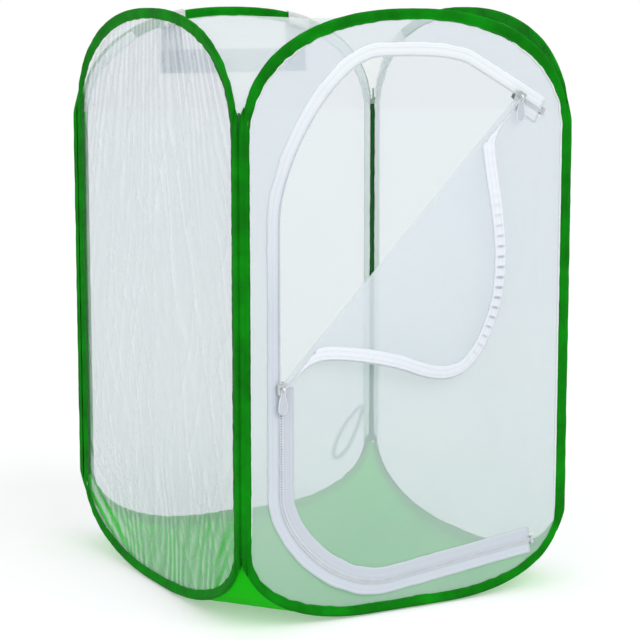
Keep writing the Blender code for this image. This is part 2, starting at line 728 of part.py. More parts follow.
def flap_point(along, away, lift):
    """A place on the folded corner: along the fold line, away from it, and above the cloth's middle."""
    start, line, down, _ = fold_frame()
    bow = FLAP_BOW * math.sin(math.pi * min(1, max(0, away / FLAP_BOW_SPAN)))
    spot = start + line * along + down * away
    return FRONT.point(spot.x, spot.y, FLAP_AXIS + FLAP_ROLL_RADIUS + bow + lift)


def flap_edge():
    length = fold_frame()[3]
    return [Vector((along * length, away * length)) for along, away in FLAP_EDGE_SHARES]


def make_flap(materials, carrier):
    """The door's unzipped corner, rolled over the fold line and bowed out over the panel."""
    start, line, down, _ = fold_frame()
    half = FLAP_THICKNESS / 2
    near, far = [], []
    for edge in flap_edge():
        for grid, side in ((near, -1), (far, 1)):
            row = []
            radius = FLAP_ROLL_RADIUS + side * half
            for step in range(FLAP_ROLL_STEPS):
                turn = math.pi * step / FLAP_ROLL_STEPS
                spot = start + line * edge.x - down * (radius * math.sin(turn))
                row.append(FRONT.point(spot.x, spot.y, FLAP_AXIS - radius * math.cos(turn)))
            for step in range(FLAP_ROWS + 1):
                away = max(0, edge.y - FLAP_HEM) * step / FLAP_ROWS
                row.append(flap_point(edge.x, away, side * half))
            grid.append(row)
    add_piece("door_flap", slab(near, far), materials["mesh"], carrier, math.radians(40))


def flap_ribbon(line, inner, outer, low, high):
    """A strip under the flap's edge, from `inner` to `outer` inside it, between two lifts."""
    first = offset_line(line, inner)
    second = offset_line(line, outer)
    near = [[flap_point(a.x, a.y, low), flap_point(b.x, b.y, low)] for a, b in zip(first, second)]
    far = [[flap_point(a.x, a.y, high), flap_point(b.x, b.y, high)] for a, b in zip(first, second)]
    return slab(near, far)


def make_flap_zip(materials, carrier):
    """The door's half of the open zip, sewn along the flap's edge on the side that faces the panel."""
    line = flap_edge()[FLAP_TAPE_FIRST:FLAP_TAPE_LAST]
    tape_top = -FLAP_THICKNESS / 2 - FLAP_LAYER_GAP
    tape_low = tape_top - TAPE_THICKNESS
    coil_top = tape_low - GAP
    add_piece("zip_tape_flap", flap_ribbon(line, 0, TAPE_HALF, tape_low, tape_top), materials["tape"],
              carrier)
    add_piece("coil_flap", flap_ribbon(line, 0, COIL_WIDTH, coil_top - COIL_HEIGHT, coil_top),
              materials["coil"], carrier)


def outline_height(panel, u):
    """The height of the panel's top edge at `u`, on the straight runs between the outline's points."""
    low = SEAM_CLEARANCE
    points = [Vector((low + p.x, HEIGHT - p.y)) for p in top_curve(panel)]
    points += [Vector((panel.length - p.x, p.y)) for p in reversed(points[:-1])]
    for first, second in zip(points, points[1:]):
        if first.x <= u <= second.x:
            return first.lerp(second, (u - first.x) / (second.x - first.x)).y
    return HEIGHT


def webbing_centres():
    middle = BACK.length / 2 + WEBBING_OFFSET
    return {"left": middle - WEBBING_SPREAD / 2, "right": middle + WEBBING_SPREAD / 2}


def make_webbing(materials, carriers):
    """Two webbing bands sewn over the top of the back hoop."""
    inner = BAND_THICKNESS / 2 + GAP
    outer = inner + WEBBING_THICKNESS
    knots = [SEAM_CLEARANCE + p.x for p in top_curve(BACK)]
    knots += [BACK.length - knot for knot in knots]
    for side, centre in webbing_centres().items():
        start = centre - WEBBING_WIDTH / 2
        end = centre + WEBBING_WIDTH / 2
        places = sorted({start, end} | {knot for knot in knots if start < knot < end})
        near, far = [], []
        for u in places:
            edge = outline_height(BACK, u)
            foot = edge - BAND_LEVEL - WEBBING_LEG_OVERHANG
            over = edge + GAP
            inside = [(-inner, foot), (-inner, over), (inner, over), (inner, foot)]
            outside = [(-outer, foot), (-outer, over + WEBBING_THICKNESS),
                       (outer, over + WEBBING_THICKNESS), (outer, foot)]
            near.append([BACK.point(u, z, depth) for depth, z in inside])
            far.append([BACK.point(u, z, depth) for depth, z in outside])
        add_piece("strap_band_" + side, slab(near, far), materials["webbing"], carriers["back"])


def strap_axis():
    """The carry strap's hinge line, level with the bands' outer legs."""
    lowest = min(outline_height(BACK, centre) for centre in webbing_centres().values())
    return lowest - STRAP_SEAT


def make_carry_strap(materials, carrier):
    """The webbing between the bands, folded flat at its two lower corners and hanging behind."""
    centres = webbing_centres()
    half = WEBBING_WIDTH / 2
    left, right = centres["left"] - half, centres["right"] + half
    top = strap_axis() + STRAP_THICKNESS / 2
    low = top - STRAP_HANG
    inner_left, inner_right = left + WEBBING_WIDTH, right - WEBBING_WIDTH
    inner_low = low + WEBBING_WIDTH
    loop = [(left, top), (left, low + half), (left + half, low), (right - half, low),
            (right, low + half), (right, top), (inner_right, top), (inner_right, inner_low),
            (inner_left, inner_low), (inner_left, top)]
    points = [Vector(point) for point in loop]
    shape = plate(BACK, [points], STRAP_DEPTH - STRAP_THICKNESS / 2, STRAP_DEPTH + STRAP_THICKNESS / 2)
    add_piece("carry_strap", shape, materials["webbing"], carrier)


def ribbon_axis():
    """The top of the tie ribbon's loop, on the back binding's upright run beside the corner."""
    return Vector((BACK.length - RIBBON_INSET, RIBBON_TOP))


def make_tie_ribbon(materials, carrier):
    """A narrow loop of ribbon that hangs by the corner, with rounded ends."""
    down = Vector((-math.sin(RIBBON_LEAN), -math.cos(RIBBON_LEAN)))
    across = Vector((-down.y, down.x))

    def loop(half_width, margin):
        points = []
        reach = RIBBON_LOOP_LENGTH - RIBBON_LOOP_WIDTH / 2
        for centre, turn_start in ((RIBBON_LOOP_WIDTH / 2, math.pi), (reach, 0)):
            for step in range(RIBBON_END_STEPS + 1):
                turn = turn_start + math.pi * step / RIBBON_END_STEPS
                sideways = half_width * math.cos(turn)
                along = centre + half_width * math.sin(turn)
                points.append(ribbon_axis() + across * sideways + down * (along - margin))
        return points

    half = RIBBON_LOOP_WIDTH / 2
    low = BAND_THICKNESS / 2 + STRAP_GAP
    loops = [loop(half, 0), loop(half - RIBBON_WIDTH, 0)]
    add_piece("tie_ribbon", plate(BACK, loops, low, low + RIBBON_THICKNESS), materials["webbing"], carrier)


def make_carriers():
    """One empty on each joint's axis, in the order that the joints hang from each other."""
    left = make_joint_empty("left_side", Vector((-HALF_WIDTH, -HALF_DEPTH, 0)))
    back = make_joint_empty("back_side", Vector((-HALF_WIDTH, HALF_DEPTH, 0)), left)
    right = make_joint_empty("right_side", Vector((HALF_WIDTH, -HALF_DEPTH, 0)))
    side_place, top_place = side_slider_place(), top_slider_place()
    side_slider = make_joint_empty("side_slider", FRONT.point(side_place.x, side_place.y, BAIL_AXIS))
    top_slider = make_joint_empty("top_slider", FRONT.point(top_place.x, top_place.y, BAIL_AXIS))
    ribbon_place = ribbon_axis()
    return {
        "front": None, "left": left, "back": back, "right": right,
        "side_slider": side_slider, "top_slider": top_slider,
        "flap": make_joint_empty("flap", FRONT.point(side_place.x, side_place.y, FLAP_AXIS)),
        "strap": make_joint_empty("strap", BACK.point(BACK.length / 2, strap_axis(), STRAP_DEPTH), back),
        "tie": make_joint_empty(
            "tie", BACK.point(ribbon_place.x, ribbon_place.y,
                              BAND_THICKNESS / 2 + STRAP_GAP + RIBBON_THICKNESS / 2), back),
    }


def main():
    clear_scene()
    materials = make_materials()
    carriers = make_carriers()
    make_hoops(materials, carriers)
    make_flat_sheets(materials, carriers)
    make_front_mesh(materials)
    make_door_mesh(materials)
    make_film(materials, carriers)
    make_floor_and_top(materials)
    make_seams(materials, carriers)
    make_zip(materials)
    make_stops(materials)
    upward = Vector((0, 1))
    along_top = (ZIP_END - ZIP_HIGH_RIGHT).normalized()
    for name, place, way in (("side", side_slider_place(), upward), ("top", top_slider_place(), along_top)):
        carrier = carriers[name + "_slider"]
        make_slider("slider_" + name, place, way, materials["slider"], carrier)
        make_pull("pull_" + name, place, materials["slider"], carrier)
    make_flap(materials, carriers["flap"])
    make_flap_zip(materials, carriers["flap"])
    make_webbing(materials, carriers)
    make_carry_strap(materials, carriers["strap"])
    make_tie_ribbon(materials, carriers["tie"])


main()
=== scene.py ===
# %% [markdown]
# # A pop-up insect cage
# The cage has four upright panels of net or clear film. Each one is stretched on a ring of spring wire
# inside a green fabric binding, and the rings are sewn together down the corners, so it all folds flat.
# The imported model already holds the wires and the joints. This lesson dresses it in cloth. Nearly every
# piece starts as a flat grid, as cloth does on the cutting table, and a short rule then says where each
# point of that grid hangs on the cage.

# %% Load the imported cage
import math

import bmesh
import bpy
import numpy as np
from mathutils import Matrix, Vector, noise


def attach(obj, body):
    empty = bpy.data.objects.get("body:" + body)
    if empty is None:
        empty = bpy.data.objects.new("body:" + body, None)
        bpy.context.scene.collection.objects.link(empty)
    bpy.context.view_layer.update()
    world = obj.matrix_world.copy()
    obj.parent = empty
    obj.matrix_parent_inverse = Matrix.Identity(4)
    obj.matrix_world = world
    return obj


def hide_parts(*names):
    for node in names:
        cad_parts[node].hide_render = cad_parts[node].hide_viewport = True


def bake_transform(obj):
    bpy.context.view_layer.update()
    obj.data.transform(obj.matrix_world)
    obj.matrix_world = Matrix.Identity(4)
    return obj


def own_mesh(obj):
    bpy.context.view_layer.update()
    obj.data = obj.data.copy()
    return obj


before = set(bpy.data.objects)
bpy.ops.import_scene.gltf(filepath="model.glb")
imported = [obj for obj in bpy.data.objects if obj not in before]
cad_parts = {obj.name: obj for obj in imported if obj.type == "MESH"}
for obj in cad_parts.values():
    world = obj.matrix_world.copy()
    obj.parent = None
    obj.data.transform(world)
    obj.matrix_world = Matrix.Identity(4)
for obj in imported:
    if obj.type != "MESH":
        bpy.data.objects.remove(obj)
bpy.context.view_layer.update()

# %% [markdown]
# ## The view
# The photograph was taken from the left, a little above the middle of the cage, with a long lens. The
# camera goes where those lines of sight meet. The floor is a plain pale sheet that reaches past the view,
# and two wide soft lamps and a pale sky light the cage evenly, so a colour renders about as it is written.

# %% Camera
camera = bpy.data.objects.new("camera", bpy.data.cameras.new("camera"))
bpy.context.scene.collection.objects.link(camera)
bpy.context.scene.camera = camera
camera.location = (-1.0068, -1.882, 0.6003)
sight = Vector((0.4684, 0.8696, -0.1565))
camera.rotation_euler = sight.to_track_quat("-Z", "Y").to_euler()
camera.data.lens = 114.8
camera.data.sensor_width = 36
print("the camera is", round(camera.location.length, 2), "m from the middle of the floor")

# %% [markdown]
# ## A short way to write finishes
# A finish is a graph of nodes, and long graphs are hard to read when each link is a line of its own. Here a
# node's output is wrapped in a small class, so a sum such as 1 - mask adds the Math nodes that it needs,
# and one method adds every other kind of node.

# %% Node outputs that can be added and multiplied
class Value:
    """A node's output. Sums on it add Math nodes."""

    def __init__(self, finish, socket):
        self.finish = finish
        self.socket = socket

    def math(self, operation, *others):
        return self.finish.add("Math", {"operation": operation}, dict(enumerate((self, *others))))

    def __add__(self, other):
        return self.math("ADD", other)

    def __sub__(self, other):
        return self.math("SUBTRACT", other)

    def __rsub__(self, other):
        return self.finish.add("Math", {"operation": "SUBTRACT"}, {0: other, 1: self})

    def __mul__(self, other):
        return self.math("MULTIPLY", other)

    def __truediv__(self, other):
        return self.math("DIVIDE", other)

    def __pow__(self, other):
        return self.math("POWER", other)

    __radd__ = __add__
    __rmul__ = __mul__


# %% One method for every other node
class Finish:
    """A material, and the way to add nodes to it."""

    def __init__(self, name, **sockets):
        self.material = bpy.data.materials.new(name)
        self.material.use_nodes = True
        self.tree = self.material.node_tree
        self.shader = self.tree.nodes["Principled BSDF"]
        for socket, value in sockets.items():
            self.set(socket.replace("_", " "), value)

    def set(self, socket, value):
        self.connect(self.shader.inputs[socket], value)

    def connect(self, socket, value):
        if isinstance(value, Value):
            self.tree.links.new(value.socket, socket)
        else:
            socket.default_value = value

    def add(self, kind, settings=None, inputs=None, output=0):
        node = self.tree.nodes.new("ShaderNode" + kind)
        for setting, value in (settings or {}).items():
            if setting == "stops":
                self.set_stops(node.color_ramp, value)
            else:
                setattr(node, setting, value)
        for socket, value in (inputs or {}).items():
            self.connect(node.inputs[socket], value)
        return Value(self, node.outputs[output])

    def set_stops(self, ramp, stops):
        while len(ramp.elements) < len(stops):
            ramp.elements.new(1)
        for element, (place, shade) in zip(ramp.elements, stops):
            element.position = place
            element.color = (shade, shade, shade, 1)

    def place(self):
        return self.add("TexCoord", output="Object")

    def uv(self):
        return self.add("UVMap")

    def split(self, vector):
        """The x, y and z of a vector, each as a value."""
        first = self.add("SeparateXYZ", {}, {0: vector})
        return [Value(self, output) for output in first.socket.node.outputs]

    def line(self, value, middle, half_width):
        """1 where a value is at `middle`, and 0 from `half_width` away on."""
        return 1 - ((value - middle).math("ABSOLUTE") / half_width).math("MINIMUM", 1.0)

    def noise(self, place, scale, detail=2, roughness=0.5):
        return self.add("TexNoise", {}, {"Vector": place, "Scale": scale, "Detail": detail,
                                         "Roughness": roughness})

    def ramp(self, value, *stops):
        return self.add("ValToRGB", {"stops": stops}, {0: value})

    def mix(self, share, first, second):
        return self.add("Mix", {"data_type": "RGBA"}, {0: share, 6: first, 7: second}, 2)

    def stretch(self, place, amounts):
        return self.add("VectorMath", {"operation": "MULTIPLY"}, {0: place, 1: amounts})

    def bump(self, height, strength, distance):
        self.set("Normal", self.add("Bump", {}, {"Height": height, "Strength": strength,
                                                 "Distance": distance}))

    def glow_through(self, share, tint):
        """Mix in a share of Translucent: thin cloth also shows the light that falls on its far side."""
        glow = self.add("BsdfTranslucent", {}, {"Color": tint})
        mixed = self.add("MixShader", {}, {0: share, 1: Value(self, self.shader.outputs[0]), 2: glow})
        self.connect(self.tree.nodes["Material Output"].inputs["Surface"], mixed)


def shade(red, green, blue):
    """A colour picked on screen, from 0 to 255, as the shader wants it."""
    return (*[((c / 255 + 0.055) / 1.055) ** 2.4 if c > 10 else c / 3294 for c in (red, green, blue)], 1)


# %% [markdown]
# ## The floor and the light
# The floor is white card. Its own light is seen by the camera, in gloss and through clear parts, but doesn't
# fall on the cage. It lifts the card to the white of the backdrop, while the soft shadow under the cage
# stays, because that comes from the lamps.

# %% White floor
bpy.ops.object.select_all(action="DESELECT")
bpy.ops.mesh.primitive_circle_add(vertices=64, radius=9, fill_type="NGON", location=(0, 0, -0.0006))
ground = bpy.context.object
ground.name = "ground"

card = Finish("white_card", Base_Color=shade(228, 230, 229), Roughness=0.95)
camera_ray = card.add("LightPath", output="Is Camera Ray")
glossy_ray = card.add("LightPath", output="Is Glossy Ray")
through_ray = card.add("LightPath", output="Is Transmission Ray")
seen = camera_ray.math("MAXIMUM", glossy_ray).math("MAXIMUM", through_ray)
card.set("Emission Color", (1, 1, 1, 1))
card.set("Emission Strength", seen * 0.30)
card.set("Specular IOR Level", 0.0)
ground.data.materials.append(card.material)

# %% Pale sky, and two wide soft lamps
SKY_LIGHT, SKY_SEEN = 0.66, 1.0
world = bpy.data.worlds.new("pale_sky")
bpy.context.scene.world = world
world.use_nodes = True
nodes, links = world.node_tree.nodes, world.node_tree.links
sky = nodes["Background"]
sky.inputs["Color"].default_value = (1, 1, 1, 1)
rays = nodes.new("ShaderNodeLightPath")
white = nodes.new("ShaderNodeMath")
white.operation = "MAXIMUM"
strength = nodes.new("ShaderNodeMapRange")
strength.inputs["To Min"].default_value = SKY_LIGHT
strength.inputs["To Max"].default_value = SKY_SEEN
links.new(rays.outputs["Is Camera Ray"], white.inputs[0])
links.new(rays.outputs["Is Transmission Ray"], white.inputs[1])
links.new(white.outputs[0], strength.inputs["Value"])
links.new(strength.outputs["Result"], sky.inputs["Strength"])


def add_lamp(name, way, power, spread):
    lamp = bpy.data.objects.new(name, bpy.data.lights.new(name, "SUN"))
    bpy.context.scene.collection.objects.link(lamp)
    lamp.rotation_euler = Vector(way).to_track_quat("-Z", "Y").to_euler()
    lamp.data.energy = power
    lamp.data.angle = math.radians(spread)
    print(name, "shines along", way)


add_lamp("key_lamp", (-0.25, 0.70, -0.70), 1.05, 45)
add_lamp("fill_lamp", (0.80, 0.30, -0.50), 0.60, 70)
bpy.context.scene.view_settings.view_transform = "Standard"

# %% [markdown]
# ## The rings
# Each ring stands upright, with round corners that follow a curve between an ellipse and a box. A panel
# is described by where its first corner stands, which way it runs and which way is out, so one rule
# serves all four sides.

# %% Sizes of the cage, in metres
WIDTH, DEPTH, HEIGHT = 0.365, 0.390, 0.590
TOP_RISE, TOP_POWER = 0.120, 2.3
LOW_RISE, LOW_POWER = 0.080, 2.2
FRONT_LEVEL, SIDE_LEVEL = 0.0834, 0.0184
BAND_UPRIGHT, BAND_LEVEL, BAND_THICK = 0.008, 0.011, 0.006
SEAM_GAP = 0.0008


class Panel:
    """One upright side: `u` runs along it, `z` up, and `depth` outwards from the middle of its cloth."""

    def __init__(self, start, along, out, length, level):
        self.along = Vector(along)
        self.out = Vector(out)
        self.length = length
        self.reach = (length - level) / 2 - SEAM_GAP
        self.start = Vector(start) + self.out * BAND_THICK / 2

    def point(self, u, z, depth=0.0):
        return self.start + self.along * u + self.out * depth + Vector((0, 0, z))


HALF_W, HALF_D = WIDTH / 2, DEPTH / 2
FRONT = Panel((-HALF_W, -HALF_D, 0), (1, 0, 0), (0, -1, 0), WIDTH, FRONT_LEVEL)
LEFT = Panel((-HALF_W, -HALF_D, 0), (0, 1, 0), (-1, 0, 0), DEPTH, SIDE_LEVEL)
BACK = Panel((-HALF_W, HALF_D, 0), (1, 0, 0), (0, 1, 0), WIDTH, FRONT_LEVEL)
RIGHT = Panel((HALF_W, -HALF_D, 0), (0, 1, 0), (1, 0, 0), DEPTH, SIDE_LEVEL)
PANELS = {"front": FRONT, "left": LEFT, "back": BACK, "right": RIGHT}
CORNERS = {"front_left": (-1, -1), "front_right": (1, -1), "back_left": (-1, 1), "back_right": (1, 1)}
OPEN_CORNER = "back_right"


# %% The outer edge of a ring
def quarter(reach, rise, power, steps):
    """A round corner, from its upright end at (0, rise) to its level end at (reach, 0)."""
    turns = [math.pi / 2 * step / steps for step in range(steps + 1)]
    return [Vector((reach * (1 - max(0, math.cos(turn)) ** (2 / power)),
                    rise * (1 - math.sin(turn) ** (2 / power)))) for turn in turns]


def low_corner(panel, steps=48):
    return quarter(panel.reach, LOW_RISE, LOW_POWER, steps)


def top_corner(panel, steps=64):
    return quarter(panel.length / 2 - SEAM_GAP, TOP_RISE, TOP_POWER, steps)


def outline(panel):
    """The ring's outer edge, anticlockwise from the upright end of its first low corner."""
    near, far = SEAM_GAP, panel.length - SEAM_GAP
    low, top = low_corner(panel), top_corner(panel)
    edge = [Vector((near + p.x, p.y)) for p in low]
    edge += [Vector((far - p.x, p.y)) for p in reversed(low)]
    edge += [Vector((far - p.x, HEIGHT - p.y)) for p in top]
    return edge + [Vector((near + p.x, HEIGHT - p.y)) for p in reversed(top[:-1])]


def spread(line, count, closed=False):
    """`count` places spread evenly along a line, and the line's length."""
    points = np.array([tuple(p) for p in (line + line[:1] if closed else line)])
    run = np.concatenate(([0], np.cumsum(np.linalg.norm(np.diff(points, axis=0), axis=1))))
    places = np.linspace(0, run[-1], count, endpoint=not closed)
    columns = [np.interp(places, run, points[:, axis]) for axis in range(points.shape[1])]
    return [Vector(values) for values in zip(*columns)], float(run[-1])


def to_right(points, closed=False):
    """The unit vector to the right of a line at each of its points, which is out of a ring."""
    sides = []
    for index in range(len(points)):
        after = points[(index + 1) % len(points)] if closed or index + 1 < len(points) else points[index]
        before = points[index - 1] if closed or index > 0 else points[index]
        way = (after - before).normalized()
        sides.append(Vector((way.y, -way.x)))
    return sides


def band_width(side):
    """The binding is wider on the level runs, and puckers out to its widest on the round top corners."""
    corner = 2 * abs(side.x * side.y) if side.y > 0 else 0
    return BAND_UPRIGHT + (BAND_LEVEL - BAND_UPRIGHT) * side.y ** 2 + 0.003 * corner


for side, panel in PANELS.items():
    print(side, "ring is", round(spread(outline(panel), 400, True)[1], 3), "m round")

# %% [markdown]
# ## Laying out cloth
# A flat grid is the cut cloth. Its points are then put where a rule says they hang, edges that meet are
# joined, and the faces are turned to look outwards. A grid is used, and not loose triangles, because folds
# run cleanly along its rows. The grid keeps its flat map in metres, which the weave follows.


# %% Lay a grid of cloth
def start_fresh():
    """Leave edit mode and select nothing, because an operator acts on all that is selected."""
    if bpy.context.object and bpy.context.object.mode != "OBJECT":
        bpy.ops.object.mode_set(mode="OBJECT")
    bpy.ops.object.select_all(action="DESELECT")


def lay_cloth(name, columns, rows, place, size=(1, 1), outward=None, closed=False):
    """A grid laid out by place(column, row). `outward` is the way its faces look, if it is open."""
    start_fresh()
    bpy.ops.mesh.primitive_grid_add(x_subdivisions=columns, y_subdivisions=rows, size=1)
    piece = bpy.context.object
    piece.name = piece.data.name = name
    for vert in piece.data.vertices:
        vert.co = place(round((vert.co.x + 0.5) * columns), round((vert.co.y + 0.5) * rows))
    for corner in piece.data.uv_layers[0].data:
        corner.uv = (corner.uv.x * size[0], corner.uv.y * size[1])
    bpy.ops.object.mode_set(mode="EDIT")
    bpy.ops.mesh.select_all(action="SELECT")
    bpy.ops.mesh.remove_doubles(threshold=0.00002)
    if closed:
        bpy.ops.mesh.normals_make_consistent(inside=False)
    bpy.ops.object.mode_set(mode="OBJECT")
    if outward is not None:
        facing = sum((face.normal * face.area for face in piece.data.polygons), Vector())
        if facing.dot(outward) < 0:
            piece.data.flip_normals()
    bpy.ops.object.shade_smooth()
    return piece


def thicken(piece, thickness, offset=0.0):
    start_fresh()
    piece.select_set(True)
    bpy.context.view_layer.objects.active = piece
    wall = piece.modifiers.new("thickness", "SOLIDIFY")
    wall.thickness = thickness
    wall.offset = offset
    bpy.ops.object.modifier_apply(modifier="thickness")
    return piece


# %% Dress a piece, and say what it rides on
def dress(piece, finish, body=None, replaces=()):
    piece.data.materials.clear()
    piece.data.materials.append(finish.material)
    if body:
        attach(piece, body)
    if replaces:
        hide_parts(*replaces)
    print(piece.name, len(piece.data.polygons), "faces")
    return piece


def bend_with_corner(piece, corner, reach):
    """Bake the piece's place into its mesh."""
    x, y = CORNERS[corner]
    along, across = corner.split("_")
    along + "_panel"
    across + "_panel"
    y * (HALF_D + reach)
    y * HALF_D
    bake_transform(piece)


# %% Smooth random heights
def ripple(place, size, seed=0.0):
    """A smooth random height between -1 and 1, with bumps about `size` across."""
    return noise.noise(Vector((place[0] / size + seed, place[1] / size - seed, seed * 1.7)))


def ridge(place, size, seed=0.0):
    """Sharp fold lines: 1 on a fold, falling quickly to 0 beside it."""
    return max(0.0, 1 - 3.2 * abs(ripple(place, size, seed))) ** 2


def clamp(value):
    """The nearest number from 0 to 1."""
    return min(1.0, max(0.0, value))


print("a ripple, every 3 mm along a line:", [round(ripple((step * 0.003, 0), 0.02), 2) for step in range(5)])

# %% [markdown]
# ## Green binding
# The binding is a strip of polyester cloth folded over the wire and sewn through near its inner edge. Its
# section is round over the wire and flat at the hem. It puckers where it is forced round a corner, so the
# ripples are stronger there. It is swept as one closed tube, because a strip and a separate wire cover
# would show a false gap. The two ends of the strip lap over each other on the bottom run.


# %% Woven green cloth, with its stitches on the strip's own map
def cloth_weave(finish, uv, pitch):
    """Plain weave as a height from 0 to 1: threads that pass over and under each other."""
    along, across = [axis * (math.tau / pitch) for axis in finish.split(uv)[:2]]
    return across.math("SINE") * along.math("SINE") * 0.5 + 0.5


BAND_ROUND = 0.024


def make_binding_finish():
    cloth = Finish("green_binding_cloth", Roughness=0.7)
    cloth.set("Specular IOR Level", 0.1)
    place, uv = cloth.place(), cloth.uv()
    run, hem = cloth.split(uv)[:2]
    weave = cloth_weave(cloth, uv, 0.0008)
    worn = cloth.noise(place, 38, 3)
    folds = cloth.noise(cloth.stretch(uv, (160, 2600, 1)), 1, 2)
    base = cloth.mix(cloth.ramp(worn, (0.3, 0), (0.7, 1)), shade(0, 115, 3), shade(5, 149, 12))
    base = cloth.mix(weave * 0.2, base, shade(0, 90, 2))
    side_of_hem = (hem - BAND_ROUND / 2).math("ABSOLUTE")
    stitch = cloth.line(side_of_hem, 0.0019, 0.0003) * (run / 0.0032).math("FRACT").math("LESS_THAN", 0.7)
    cloth.set("Base Color", cloth.mix(stitch * 0.8, base, shade(52, 170, 54)))
    cloth.set("Roughness", 0.6 + worn * 0.2)
    cloth.bump(weave * 0.25 + folds * 0.8 + stitch * 0.6, 0.5, 0.0006)
    return cloth


binding_finish = make_binding_finish()


# %% The section of the binding, and where it laps
def binding_section(width):
    """(inward, depth) points from the outer edge to the hem on one face, then back on the other."""
    centre, radius = 0.0030, 0.0024
    turns = [math.radians(turn) for turn in (0, 22, 44, 66, 88, 110)]
    face = [(centre - radius * math.cos(turn), radius * math.sin(turn)) for turn in turns]
    start = face[-1][0]
    for share, half in ((0.3, 0.0018), (0.55, 0.0012), (0.75, 0.0007), (0.9, 0.00095), (1.0, 0.0006)):
        face.append((start + (width - start) * share, half))
    return face + [(inward, -depth) for inward, depth in reversed(face[1:])]


# Where each strip's end starts to lap over its beginning, and how far it laps. The lap is thicker and a
# little wider, and dips just where its edge is sewn down.
LAPS = {"front": (0.226, 0.018), "left": (0.172, 0.022), "back": (0.200, 0.018), "right": (0.230, 0.018)}
LAP_SWELL, LAP_DIP, LAP_DIP_REACH, LAP_WIDER = 1.2, 0.92, 0.0016, 0.0007
BINDING_SEEDS = {"front": 1.3, "left": 4.1, "back": 7.7, "right": 9.2}
RING_COLUMNS = 720
SECTION_ROWS = len(binding_section(BAND_LEVEL))
print("the binding's section has", SECTION_ROWS, "points")


# %% A rule for how a binding lies
def binding_rule(side, panel):
    """How a binding lies: place(column, row, push, reach), the places round the ring and its length."""
    points, length = spread(outline(panel), RING_COLUMNS, True)
    outs = to_right(points, True)
    bends = [min(1.0, outs[i - 3].angle(outs[(i + 3) % RING_COLUMNS]) / 0.12) for i in range(RING_COLUMNS)]
    seed = BINDING_SEEDS[side]
    lap_start, lap_length = LAPS[side]

    def place(column, row, push=0.0, reach=0.0):
        column, row = column % RING_COLUMNS, row % SECTION_ROWS
        here, out = points[column], outs[column]
        run = length * column / RING_COLUMNS
        inward, depth = binding_section(band_width(out))[row]
        fold = 0.35 + 0.65 * bends[column]
        face = 1 if depth > 0 else -1
        pucker = ripple((run, row * 0.0012), 0.011, seed + face) * 0.0007 * fold
        pucker += ripple((run, row * 0.002), 0.0048, seed - face) * 0.0003
        wave = ripple((run, 0), 0.030, seed * 3) * 0.0007 * fold
        scallop = ripple((run, 0), 0.009, seed * 2) * 0.0009 * fold * inward / 0.008
        lapped = lap_start < run < lap_start + lap_length
        swell = LAP_SWELL if lapped else 1.0
        if abs(run - lap_start) < LAP_DIP_REACH:
            swell = LAP_DIP
        depth = depth * swell + pucker + wave * 0.5 - push
        wider = LAP_WIDER if lapped and inward > BAND_UPRIGHT / 2 else 0
        inward = inward + pucker * 0.4 + scallop + wider + reach
        spot = here - out * inward
        return panel.point(spot.x, spot.y, depth)

    return place, points, length


for side, panel in PANELS.items():
    place, _, length = binding_rule(side, panel)
    size = (length, BAND_ROUND)
    band = lay_cloth("binding_cloth_" + side, RING_COLUMNS, SECTION_ROWS, place, size, closed=True)
    dress(band, binding_finish, side + "_panel", ["binding_" + side])

# %% [markdown]
# ## White hem on the inside of the rings
# The net's own edge is turned over the inside of each binding and sewn down with it, so from inside the cage
# the rings look white. The turned edge follows the binding's inner face, and shows as a thin white rim at
# its hem. It stops at the low corners, where the floor cloth takes its place, and at the level top. Where
# film or the next ring covers the inner face, no edge is turned over it, and the binding shows green.


# %% Hem cloth and its strip
def make_hem_finish():
    hem = Finish("white_net_hem", Roughness=0.85)
    place, uv = hem.place(), hem.uv()
    weave = cloth_weave(hem, uv, 0.0011)
    cloud = hem.noise(place, 30, 3)
    hem.set("Base Color", hem.mix(cloud, shade(240, 244, 248), shade(250, 252, 254)))
    hem.set("Roughness", 0.75 + cloud * 0.15)
    hem.bump(weave + cloud, 0.4, 0.0004)
    return hem


hem_finish = make_hem_finish()

# Rows of the binding's section that the hem covers, and how far its cloth stands in from each
HEM_ROWS = (17, 16, 15, 14, 13, 12, 11, 10, 9)
HEM_REACH = (0, 0, 0, 0.0002, 0.0004, 0.0006, 0.0010, 0.0010, 0.0002)
FIRST_INNER_ROW = 11

# Which uprights of each ring have a hem, and where it starts and stops
HEM_SIDES = {"front": ("far", "near"), "left": ("near",), "back": ("far", "near"), "right": ("far",)}
HEM_FOOT, HEM_BARE, LEVEL_SHARE = LOW_RISE - 0.016, 0.47, 0.93
HEM_WIDE, HEM_FADE = 0.012, 20

